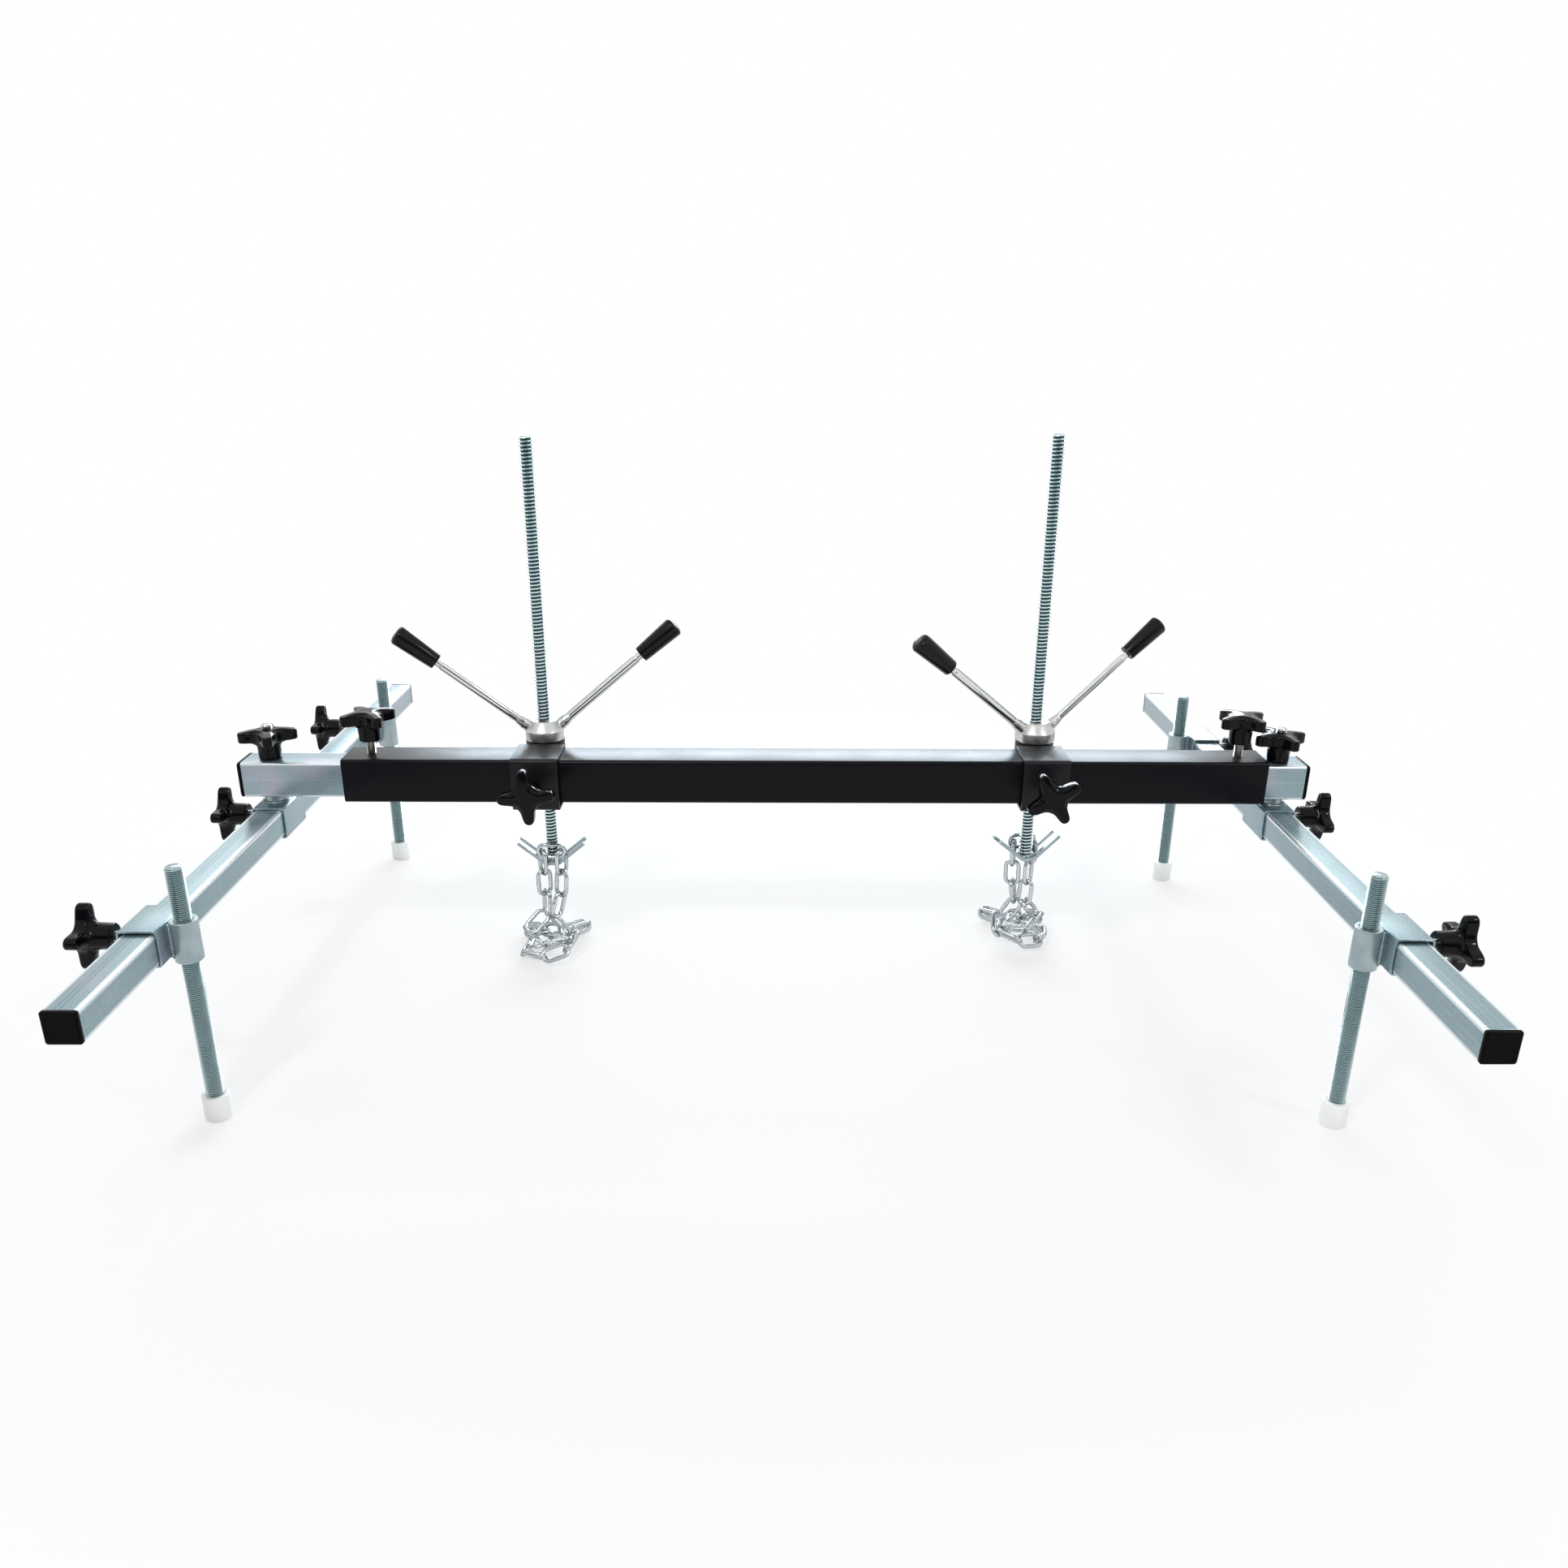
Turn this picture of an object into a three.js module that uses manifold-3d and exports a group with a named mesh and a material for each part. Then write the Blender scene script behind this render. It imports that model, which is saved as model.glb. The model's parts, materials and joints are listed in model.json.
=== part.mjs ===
// Engine support bar: a cross beam on four screw feet, with two lifting screws, hooks and chains.
// Millimetres, +X along the beam, +Y away from the viewer, +Z up.
import * as THREE from "three";
import { mergeVertices } from "three/addons/utils/BufferGeometryUtils.js";
import Module from "manifold-3d";

const wasm = await Module();
wasm.setup();

// Driving dimensions
const seatGap = 0.3;
const boreGap = 0.3;
const play = { extension: 1, rail: 1, lift: 2, spigot: 0.4, plug: 0.3 };

const beam = { side: 50, wall: 4, cornerRadius: 4, length: 1030, height: 240 };
const extension = {
  side: beam.side - 2 * (beam.wall + play.extension),
  wall: 2.5,
  cornerRadius: 3,
  length: 450,
  boltInset: 27,
};
const rail = { side: 30, wall: 2, cornerRadius: 2.5, length: 970 };
const railSleeve = { wall: 2, cornerRadius: 3.5, length: 60, footLength: 56 };
railSleeve.side = rail.side + 2 * (railSleeve.wall + play.rail);
const liftSleeve = { wall: 3, cornerRadius: 4.5, length: 52 };
liftSleeve.side = beam.side + 2 * (liftSleeve.wall + play.lift);
const plug = { flange: 4.2, depth: 10, bevel: 1.2 };

const lockScrew = { radius: 5, knobStandOff: 16, depthInKnob: 14, beamInset: 28 };
const knob = {
  tipRadius: 31,
  lobeRadius: 5.5,
  valleyRadius: 15.5,
  bossRadius: 12,
  bossTopRadius: 12.5,
  bossHeight: 14,
  lobeUnder: 20,
  lobeTop: 29,
  shoulder: 31.5,
  height: 34,
  hubRadius: 9,
  edge: 2,
};
const swivelBolt = { radius: 6, collarRadius: 11, collarFoot: 13, drop: 9.5, proud: 39 };

const footScrew = { radius: 8, length: 256, chamfer: 1.2 };
const footBoss = { radius: 12.5, height: 40, below: 1, sunk: 1.2 };
const footPad = { wall: 4.4, height: 26, socketDepth: 20, edge: 2.2 };

const guideTube = { radius: 22, wall: 5, sunk: 0.6 };
const liftScrew = { radius: 8, length: 490, chamfer: 1.5 };
const hub = { radius: 23, bandHeight: 11, topRadius: 15, height: 22, spigot: 9, edge: 1 };
const handle = { rodRadius: 5, rise: 39.4, collarRadius: 7.5, collarLength: 25, reach: 159, inset: 2 };
const grip = { length: 64, tipRadius: 10, mouthRadius: 8.5, cover: 52 };
const hook = { width: 22, thickness: 4, rise: 39.5, halfSpan: 39.5, flat: 8, slot: 12, slotInset: 7.4 };

// Link sizes, and how the chain lies: turns in degrees, shares of the fall or of a link's width
const chain = { wire: 2.5, inside: 26, insideWidth: 10.5, pitch: 26.7, linksEachSide: 11 };
const chainLay = {
  yaw: 35,
  bite: 0.5,
  slide: 1.4,
  settle: 1.2,
  heapRadius: 27,
  innerShare: 0.72,
  layer: 14,
  tailLength: 46,
  sweep: 250,
  spreadShare: 0.25,
  twistShare: 0.67,
  slackShare: 0.125,
};

// How the two sides stand in this pose: places along the beam and the rails, drops and turns
const sides = {
  left: {
    out: -1,
    reach: 112,
    frontReach: 470,
    frontFootReach: -312,
    rearFootReach: 326,
    lift: -302,
    liftLock: -2,
    hookDrop: 124,
    hookTurn: 0,
    handleTurn: 9.4,
    heap: [-6, -26],
    knobTurns: { beam: 38, swivel: 19, rail: 10, lift: 5 },
  },
  right: {
    out: 1,
    reach: 45,
    frontReach: 501,
    frontFootReach: -326,
    rearFootReach: 258,
    lift: 265.5,
    liftLock: 0,
    hookDrop: 117.5,
    hookTurn: 16,
    handleTurn: 18.5,
    heap: [2, 14],
    knobTurns: { beam: 30, swivel: 15, rail: 10, lift: 30 },
  },
};

// Flat faces on each kind of round form, and steps along each kind of curve
const cornerSegments = 1;
const wireSegments = 4;
const bendSegments = 3;
const rodSegments = 12;
const roundSegments = 16;
const hubSegments = 20;
const gripEndSegments = 2;
const strandTurnSegments = 6;

// Places worked out from the sizes
const deg = THREE.MathUtils.degToRad;
const up = new THREE.Vector3(0, 0, 1);
const extensionDrop = play.extension - seatGap;
const extensionTop = extension.side / 2 - extensionDrop;
const sleeveSlack = play.rail - seatGap;
const sleeveTop = railSleeve.side / 2;
const swivelSleeveZ = -extensionDrop - extension.side / 2 - swivelBolt.drop - sleeveTop;
const railZ = swivelSleeveZ + sleeveSlack;
const footSleeveZ = railZ + sleeveSlack;
const bossOffset = sleeveTop + footBoss.radius - footBoss.sunk;
const liftSlack = play.lift - seatGap;
const liftTop = liftSleeve.side / 2 - liftSlack;
const guideY = liftTop + guideTube.radius - guideTube.sunk;
const hubZ = liftTop + seatGap;
const beamLockX = beam.length / 2 - lockScrew.beamInset;
const lockHole = lockScrew.radius + boreGap;

// Finishes, as three.js draws them
const finishes = {
  black: new THREE.MeshStandardMaterial({ color: 0x17181b, roughness: 0.55, metalness: 0.2 }),
  zinc: new THREE.MeshStandardMaterial({ color: 0xb9c4c8, roughness: 0.35, metalness: 0.9 }),
  bright: new THREE.MeshStandardMaterial({ color: 0xc9c8c4, roughness: 0.22, metalness: 1 }),
  plastic: new THREE.MeshStandardMaterial({ color: 0x0e0f11, roughness: 0.3, metalness: 0 }),
  nylon: new THREE.MeshStandardMaterial({ color: 0xd9d8d2, roughness: 0.45, metalness: 0 }),
};

// Solids
function solid(geometry) {
  const bare = geometry.clone();
  bare.deleteAttribute("normal");
  bare.deleteAttribute("uv");
  const merged = mergeVertices(bare, 1e-4);
  const mesh = new wasm.Mesh({
    numProp: 3,
    vertProperties: new Float32Array(merged.attributes.position.array),
    triVerts: new Uint32Array(merged.index.array),
  });
  mesh.merge();
  return new wasm.Manifold(mesh);
}

function geometryOf(body) {
  const mesh = body.getMesh();
  const geometry = new THREE.BufferGeometry();
  geometry.setAttribute("position", new THREE.BufferAttribute(mesh.vertProperties, 3));
  geometry.setIndex(new THREE.BufferAttribute(mesh.triVerts, 1));
  geometry.computeVertexNormals();
  return geometry;
}

function cut(geometry, tools) {
  const body = tools.reduce((rest, tool) => rest.subtract(solid(tool)), solid(geometry));
  return geometryOf(body);
}

function joined(geometries) {
  const body = geometries.map(solid).reduce((whole, next) => whole.add(next));
  return geometryOf(body);
}

const turned = { x: [0, Math.PI / 2, 0], y: [-Math.PI / 2, 0, 0], z: [0, 0, 0] };

function turnTo(geometry, angles) {
  const turn = new THREE.Matrix4().makeRotationFromEuler(new THREE.Euler(...angles));
  return geometry.applyMatrix4(turn);
}

// A rod along an axis, from one place on that axis to another
function rod(axis, radius, from, to, at = {}, faces = rodSegments) {
  const geometry = new THREE.CylinderGeometry(radius, radius, to - from, faces);
  geometry.rotateX(Math.PI / 2);
  geometry.translate(0, 0, (from + to) / 2);
  return turnTo(geometry, turned[axis]).translate(at.x ?? 0, at.y ?? 0, at.z ?? 0);
}

// The cutter for a round hole whose flats clear the given radius
function bore(axis, radius, from, to, at = {}, faces = rodSegments) {
  return rod(axis, radius / Math.cos(Math.PI / faces), from, to, at, faces);
}

function roundedSquare(side, corner) {
  const half = side / 2;
  const inner = half - corner;
  const shape = new THREE.Shape();
  shape.absarc(inner, inner, corner, 0, Math.PI / 2);
  shape.absarc(-inner, inner, corner, Math.PI / 2, Math.PI);
  shape.absarc(-inner, -inner, corner, Math.PI, (3 * Math.PI) / 2);
  shape.absarc(inner, -inner, corner, (3 * Math.PI) / 2, 2 * Math.PI);
  return shape;
}

// A square tube centred on the origin, its length along the given axis
function squareTube(axis, size, length = size.length) {
  const shape = roundedSquare(size.side, size.cornerRadius);
  const insideCorner = Math.max(size.cornerRadius - size.wall, size.wall / 4);
  shape.holes.push(roundedSquare(size.side - 2 * size.wall, insideCorner));
  const settings = { depth: length, bevelEnabled: false, curveSegments: cornerSegments };
  const geometry = new THREE.ExtrudeGeometry(shape, settings);
  geometry.translate(0, 0, -length / 2);
  return turnTo(geometry, turned[axis]);
}

// A push-in end cap whose flange stands outside z = 0 and whose plug reaches inside, towards -Z
function endPlug(size) {
  const shank = size.side - 2 * (size.wall + play.plug);
  const ring = (side, corner, z) =>
    roundedSquare(side, corner)
      .getPoints(cornerSegments)
      .map((p) => new THREE.Vector3(p.x, p.y, z));
  return loft([
    ring(shank, size.wall / 2, seatGap - plug.depth),
    ring(shank, size.wall / 2, seatGap),
    ring(size.side, size.cornerRadius, seatGap),
    ring(size.side, size.cornerRadius, seatGap + plug.flange - plug.bevel),
    ring(size.side - 2 * plug.bevel, size.cornerRadius, seatGap + plug.flange),
  ]);
}

// One turn of the knob's outline: four lobes with round tips, and hollow flanks between them
function lobeOutline() {
  const origin = new THREE.Vector2();
  const lobe = new THREE.EllipseCurve(
    knob.tipRadius - knob.lobeRadius,
    0,
    knob.lobeRadius,
    knob.lobeRadius,
    (-5 * Math.PI) / 12,
    (5 * Math.PI) / 12,
  );
  const valley = [2 / 9, 5 / 18].map((turnShare) =>
    new THREE.Vector2(knob.valleyRadius, 0).rotateAround(origin, turnShare * Math.PI),
  );
  const quarter = [...lobe.getPoints(bendSegments), ...valley];
  return [0, 1, 2, 3].flatMap((turn) =>
    quarter.map((p) => p.clone().rotateAround(origin, (turn * Math.PI) / 2)),
  );
}

// A solid from rings of points, each ring a list of Vector3, closed at both ends by a centre point
function loft(rings) {
  const count = rings[0].length;
  const positions = rings.flat().flatMap((p) => [p.x, p.y, p.z]);
  const index = [];
  for (let r = 0; r + 1 < rings.length; r++) {
    for (let i = 0; i < count; i++) {
      const j = (i + 1) % count;
      const a = r * count;
      const b = a + count;
      index.push(a + i, a + j, b + i, b + i, a + j, b + j);
    }
  }
  const ends = [rings[0], rings[rings.length - 1]];
  ends.forEach((ring, which) => {
    const centre = ring.reduce((sum, p) => sum.add(p), new THREE.Vector3()).divideScalar(count);
    const at = positions.length / 3;
    positions.push(centre.x, centre.y, centre.z);
    const base = which ? (rings.length - 1) * count : 0;
    for (let i = 0; i < count; i++) {
      const j = (i + 1) % count;
      if (which) index.push(base + i, base + j, at);
      else index.push(base + j, base + i, at);
    }
  });
  const geometry = new THREE.BufferGeometry();
  geometry.setAttribute("position", new THREE.Float32BufferAttribute(positions, 3));
  geometry.setIndex(index);
  return geometry;
}

// The four-lobed knob stands on z = 0 and opens out upwards; its bore is blind or goes through
function knobGeometry(boreRadius, boreDepth) {
  const outline = lobeOutline();
  const round = (radius, z) =>
    outline.map((p) => new THREE.Vector3(p.x, p.y, 0).setLength(radius).setZ(z));
  const lobed = (inset, z) =>
    outline.map((p) => {
      const ring = new THREE.Vector3(p.x, p.y, 0);
      return ring.setLength(ring.length() - inset).setZ(z);
    });
  const body = loft([
    round(knob.bossRadius, 0),
    round(knob.bossTopRadius, knob.bossHeight),
    lobed(0, knob.lobeUnder),
    lobed(0, knob.lobeTop),
    lobed(knob.edge, knob.shoulder),
    round(knob.hubRadius, knob.height),
  ]);
  return cut(body, [bore("z", boreRadius, -knob.height, boreDepth)]);
}

// A wire bent to a long link round the origin: its length along X, its width along Y
function linkGeometry() {
  const bend = chain.insideWidth / 2 + chain.wire;
  const straight = chain.inside / 2 - chain.insideWidth / 2;
  const centres = [];
  for (const end of [1, -1]) {
    for (let i = 0; i <= bendSegments; i++) {
      const angle = (i / bendSegments - 1 / 2) * Math.PI;
      const out = new THREE.Vector3(Math.cos(angle) * end, Math.sin(angle) * end, 0);
      const at = out.clone().multiplyScalar(bend);
      at.x += straight * end;
      centres.push({ at, out });
    }
  }
  const positions = [];
  for (const { at, out } of centres) {
    for (let s = 0; s < wireSegments; s++) {
      const angle = (s / wireSegments) * 2 * Math.PI;
      const point = at.clone();
      point.addScaledVector(out, Math.cos(angle) * chain.wire);
      point.addScaledVector(up, Math.sin(angle) * chain.wire);
      positions.push(point.x, point.y, point.z);
    }
  }
  const index = [];
  centres.forEach((_, ring) => {
    const a = ring * wireSegments;
    const b = ((ring + 1) % centres.length) * wireSegments;
    for (let s = 0; s < wireSegments; s++) {
      const t = (s + 1) % wireSegments;
      index.push(a + s, b + s, a + t, a + t, b + s, b + t);
    }
  });
  const geometry = new THREE.BufferGeometry();
  geometry.setAttribute("position", new THREE.Float32BufferAttribute(positions, 3));
  geometry.setIndex(index);
  return geometry;
}

// The V-shaped hook plate, hanging from z = 0: arms along X, slotted from the tips inwards
function hookGeometry() {
  const rise = deg(hook.rise);
  const lift = (hook.halfSpan - hook.flat) * Math.tan(rise);
  const foot = hook.thickness * Math.tan(rise / 2);
  const outside = [
    [hook.flat, 0],
    [hook.halfSpan, lift],
  ];
  const inside = [
    [hook.halfSpan - hook.thickness * Math.sin(rise), lift + hook.thickness * Math.cos(rise)],
    [hook.flat - foot, hook.thickness],
  ];
  const half = [...outside, ...inside];
  const mirrored = [...half].reverse().map(([x, y]) => [-x, y]);
  const shape = new THREE.Shape([...half, ...mirrored].map(([x, y]) => new THREE.Vector2(x, y)));
  const plate = new THREE.ExtrudeGeometry(shape, { depth: hook.width, bevelEnabled: false });
  plate.translate(0, -hook.thickness, -hook.width / 2);
  plate.rotateX(Math.PI / 2);
  const slotLength = 2 * hook.halfSpan;
  const slots = [1, -1].map((side) => {
    const slot = new THREE.BoxGeometry(slotLength, hook.slot, slotLength);
    return slot.translate(side * (hook.slotInset + slotLength / 2), 0, 0);
  });
  return cut(plate, slots);
}

function lathe(profile, faces) {
  const points = profile.map(([x, y]) => new THREE.Vector2(x, y));
  return new THREE.LatheGeometry(points, faces).rotateX(Math.PI / 2);
}

// A threaded rod at its outer size, standing on z = 0, with a chamfer at each end
function chamferedRod(size) {
  const tip = size.radius - size.chamfer;
  const profile = [
    [0, 0],
    [tip, 0],
    [size.radius, size.chamfer],
    [size.radius, size.length - size.chamfer],
    [tip, size.length],
    [0, size.length],
  ];
  return lathe(profile, rodSegments);
}

// A foot pad standing on z = 0, with the socket that the foot screw turns in
function padGeometry() {
  const socket = footScrew.radius + boreGap;
  const radius = socket + footPad.wall;
  const floor = footPad.height - footPad.socketDepth;
  const profile = [
    [0, 0],
    [radius - footPad.edge, 0],
    [radius, footPad.edge],
    [radius, footPad.height],
    [socket, footPad.height],
    [socket, floor],
    [0, floor],
  ];
  return lathe(profile, roundSegments);
}

// A round bar from z = 0 becomes a handle: it rises to the right from inside the hub's cone
function alongHandle(geometry) {
  geometry.rotateY(Math.PI / 2 - deg(handle.rise));
  return geometry.translate(hub.topRadius - handle.inset, 0, hub.height / 2);
}

// The hub: a threaded nut that rests on the guide tube, centred in it by a spigot, with two handles
function hubGeometry() {
  const boreRadius = liftScrew.radius + boreGap;
  const spigotRadius = guideTube.radius - guideTube.wall - play.spigot;
  const profile = [
    [boreRadius, -hub.spigot],
    [spigotRadius, -hub.spigot],
    [spigotRadius, 0],
    [hub.radius, 0],
    [hub.radius, hub.bandHeight - hub.edge],
    [hub.radius - hub.edge, hub.bandHeight],
    [hub.topRadius, hub.height],
    [boreRadius, hub.height],
    [boreRadius, -hub.spigot],
  ];
  const arms = [0, Math.PI].flatMap((turn) =>
    [
      rod("z", handle.collarRadius, 0, handle.collarLength),
      rod("z", handle.rodRadius, 0, handle.reach),
    ].map((arm) => alongHandle(arm).rotateZ(turn)),
  );
  const whole = joined([lathe(profile, hubSegments), ...arms]);
  return cut(whole, [bore("z", boreRadius, -hub.height, 2 * hub.height, {}, hubSegments)]);
}

// A grip over the end of the right-hand handle, round at its tip
function gripGeometry() {
  const hollowRadius = handle.rodRadius + boreGap;
  const hollow = grip.cover + seatGap;
  const shoulder = grip.length - grip.tipRadius;
  const tip = new THREE.EllipseCurve(0, shoulder, grip.tipRadius, grip.tipRadius, 0, Math.PI / 2);
  const profile = [
    [0, hollow],
    [hollowRadius, hollow],
    [hollowRadius, 0],
    [grip.mouthRadius, 0],
    ...tip.getPoints(gripEndSegments).map((p) => [p.x, p.y]),
  ];
  profile[profile.length - 1][0] = 0;
  const geometry = lathe(profile, rodSegments);
  return alongHandle(geometry.translate(0, 0, handle.reach - grip.cover));
}

// A chain over a hook, round the lift screw's axis with the floor at z = 0: its middle link stands
// against the screw, a link on each side straddles a prong, and the rest hangs into a heap
function chainGeometry(place, plateZ) {
  const bend = chain.insideWidth / 2 + chain.wire;
  const straight = (chain.inside - chain.insideWidth) / 2;
  const rise = deg(hook.rise);
  const flatTop = hook.flat - hook.thickness * Math.tan(rise / 2);
  const turnedBy = (x, y, z) => new THREE.Vector3(x, y, z).applyAxisAngle(up, deg(place.hookTurn));
  const middleY = place.out * (liftScrew.radius + chain.wire + seatGap);
  const aboveHook = (bend + chain.wire + seatGap) / Math.cos(rise);
  const middleZ = plateZ + (straight - flatTop) * Math.tan(rise) + aboveHook;
  const middle = { at: turnedBy(0, middleY, middleZ), along: turnedBy(1, 0, 0), across: up };
  const strands = [-1, 1].flatMap((strand) => {
    const yaw = deg(chainLay.yaw);
    const firstX = strand * (chain.inside / 2 - chain.wire + chainLay.bite);
    const firstY = middleY - place.out * chainLay.slide;
    const firstZ = middleZ - straight - bend + chainLay.settle;
    const first = {
      at: turnedBy(firstX, firstY, firstZ),
      along: new THREE.Vector3(0, 0, -1),
      across: turnedBy(strand * Math.sin(yaw), -place.out * Math.cos(yaw), 0),
    };
    return [first, ...hangingLinks(first, strandCurve(first.at, strand, place))];
  });
  return joined([middle, ...strands].map(placedLink));
}

// The line of one strand: down from the hook, round the heap on the floor, and out along its tail
function strandCurve(top, strand, place) {
  const heap = new THREE.Vector3(...place.heap, 0);
  const tailWay = -place.out;
  const lower = strand === tailWay;
  const radius = chainLay.heapRadius * (lower ? 1 : chainLay.innerShare);
  const height = chain.insideWidth + (lower ? 0 : chainLay.layer);
  const fall = top.z - height;
  const points = [top.clone()];
  for (const share of [1 / 3, 2 / 3]) {
    const point = top.clone().lerp(heap, share ** 2);
    point.x += strand * chain.insideWidth * chainLay.spreadShare * share ** 2;
    point.y -= strand * chain.insideWidth * chainLay.twistShare * share;
    points.push(point.setZ(top.z - fall * share));
  }
  const start = strand > 0 ? 0 : Math.PI;
  const sweep = deg(chainLay.sweep) * tailWay * (lower ? -1 : 1);
  for (let i = 0; i <= strandTurnSegments; i++) {
    const share = i / strandTurnSegments;
    const round = new THREE.Vector3(radius, 0, 0).applyAxisAngle(up, start + share * sweep);
    const slack = fall * chainLay.slackShare * (1 - share) ** 3;
    points.push(round.add(heap).setZ(height + slack));
  }
  const [before, last] = points.slice(-2);
  const away = last.clone().sub(before).setZ(0).normalize();
  const tail = last.clone().addScaledVector(away, chainLay.tailLength);
  points.push(tail.setZ(chain.insideWidth));
  return new THREE.CatmullRomCurve3(points, false, "centripetal");
}

// Links one pitch apart along a curve, each turned a quarter turn from the last
function hangingLinks(first, curve) {
  const length = curve.getLength();
  const links = [];
  let previous = first;
  for (let i = 1; i <= chain.linksEachSide; i++) {
    const share = Math.min((i * chain.pitch) / length, 1);
    const along = curve.getTangentAt(share);
    const at = curve.getPointAt(share);
    const normal = previous.across.clone().cross(previous.along);
    let across = normal.addScaledVector(along, -normal.dot(along)).normalize();
    if (Math.hypot(along.x, along.y) > Math.SQRT1_2) across = leaning(along, across);
    at.z = Math.max(at.z, depthBelow(along, across) + seatGap);
    previous = { at, along, across };
    links.push(previous);
  }
  return links;
}

// A lying link leans to one side or the other, whichever is nearer to the given direction
function leaning(along, across) {
  const flat = new THREE.Vector3().crossVectors(up, along).normalize();
  const rising = new THREE.Vector3().crossVectors(along, flat);
  const pair = [1, -1].map((turn) => flat.clone().addScaledVector(rising, turn).normalize());
  return pair.sort((a, b) => Math.abs(b.dot(across)) - Math.abs(a.dot(across)))[0];
}

// How far a link with these directions reaches below its own centre
function depthBelow(along, across) {
  const bend = chain.insideWidth / 2 + chain.wire;
  const straight = (chain.inside - chain.insideWidth) / 2;
  return Math.abs(along.z) * straight + Math.hypot(along.z, across.z) * bend + chain.wire;
}

function placedLink({ at, along, across }) {
  const normal = new THREE.Vector3().crossVectors(along, across);
  const basis = new THREE.Matrix4().makeBasis(along, across, normal).setPosition(at);
  return linkGeometry().applyMatrix4(basis);
}

// The assembly
const model = new THREE.Group();

function addMesh(name, geometry, finish, place = {}) {
  const mesh = new THREE.Mesh(geometry, finishes[finish]);
  mesh.name = name;
  mesh.position.set(place.x ?? 0, place.y ?? 0, place.z ?? 0);
  mesh.rotation.set(place.turnX ?? 0, place.turnY ?? 0, place.turnZ ?? 0);
  model.add(mesh);
}

// A locking screw and its knob outside a wall: the screw's tip stops at a face and points along "press"
const pressTurns = {
  "-z": [0, 0, 0],
  "+y": [Math.PI / 2, 0, 0],
  "+x": [0, -Math.PI / 2, 0],
  "-x": [0, Math.PI / 2, 0],
};
function addLock(name, wallFace, tip, press, place, knobTurn) {
  const knobAt = wallFace + lockScrew.knobStandOff;
  const stud = rod("z", lockScrew.radius, tip, knobAt + lockScrew.depthInKnob);
  const head = knobGeometry(lockHole, lockScrew.depthInKnob + seatGap);
  head.rotateZ(deg(knobTurn)).translate(0, 0, knobAt);
  addMesh(`${name}_stud`, turnTo(stud, pressTurns[press]), "bright", place);
  addMesh(`${name}_knob`, turnTo(head, pressTurns[press]), "plastic", place);
}

// Main beam, with a threaded hole near each end for the lock of an extension
function addBeam() {
  const holes = [1, -1].map((end) => bore("z", lockHole, 0, beam.side, { x: end * beamLockX }));
  addMesh("main_beam", cut(squareTube("x", beam), holes), "black");
}

// Telescoping extension with its end cap, and the lock that presses on it
function addExtension(side, place, boltX) {
  const end = boltX + place.out * extension.boltInset;
  const boltHole = bore("z", swivelBolt.radius + boreGap, -extension.side, extension.side, {
    x: place.out * (extension.length / 2 - extension.boltInset),
  });
  const middle = end - (place.out * extension.length) / 2;
  const tube = cut(squareTube("x", extension), [boltHole]);
  addMesh(`${side}_extension`, tube, "zinc", { x: middle, z: -extensionDrop });
  const capPlace = { x: end, z: -extensionDrop, turnY: (place.out * Math.PI) / 2 };
  addMesh(`${side}_extension_cap`, endPlug(extension), "plastic", capPlace);
  const lockPlace = { x: place.out * beamLockX };
  const tip = extensionTop + seatGap;
  addLock(`${side}_extension_lock`, beam.side / 2, tip, "-z", lockPlace, place.knobTurns.beam);
}

// Sleeve that swivels under the extension on its welded bolt, and the knob that clamps it
function addSwivel(side, place, boltX) {
  const collarTop = sleeveTop + swivelBolt.drop - seatGap;
  const collarBottom = sleeveTop - railSleeve.wall / 2;
  const boltTop = collarTop + seatGap + extension.side + swivelBolt.proud;
  const collar = new THREE.CylinderGeometry(
    swivelBolt.collarRadius,
    swivelBolt.collarFoot,
    collarTop - collarBottom,
    rodSegments,
  );
  collar.rotateX(Math.PI / 2).translate(0, 0, (collarTop + collarBottom) / 2);
  const holder = joined([
    cut(squareTube("y", railSleeve), [outerHole(place.out)]),
    collar,
    rod("z", swivelBolt.radius, collarBottom, boltTop),
  ]);
  addMesh(`${side}_swivel_sleeve`, holder, "zinc", { x: boltX, z: swivelSleeveZ });
  const knobPlace = { x: boltX, z: extensionTop + seatGap, turnZ: deg(place.knobTurns.swivel) };
  const nutKnob = knobGeometry(swivelBolt.radius + boreGap, 2 * knob.height);
  addMesh(`${side}_swivel_knob`, nutKnob, "plastic", knobPlace);
}

// The locking screw's hole in the outer wall of a rail sleeve
function outerHole(out) {
  return bore("x", lockHole, 0, railSleeve.side).scale(out, 1, out);
}

// The lock of a rail sleeve on its outer side
function addRailLock(name, place, at) {
  const wallFace = sleeveTop + sleeveSlack;
  const tip = rail.side / 2 + seatGap;
  addLock(name, wallFace, tip, place.out > 0 ? "-x" : "+x", at, place.knobTurns.rail);
}

// Rail through its sleeve, with two end caps and its lock
function addRail(side, place, railX) {
  const y = rail.length / 2 - place.frontReach;
  addMesh(`${side}_rail`, squareTube("y", rail), "zinc", { x: railX, y, z: railZ });
  for (const [where, end] of Object.entries({ front: -1, rear: 1 })) {
    const turnX = (-end * Math.PI) / 2;
    const capPlace = { x: railX, y: y + (end * rail.length) / 2, z: railZ, turnX };
    addMesh(`${side}_${where}_rail_cap`, endPlug(rail), "plastic", capPlace);
  }
  addRailLock(`${side}_rail_lock`, place, { x: railX, z: swivelSleeveZ });
}

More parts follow.
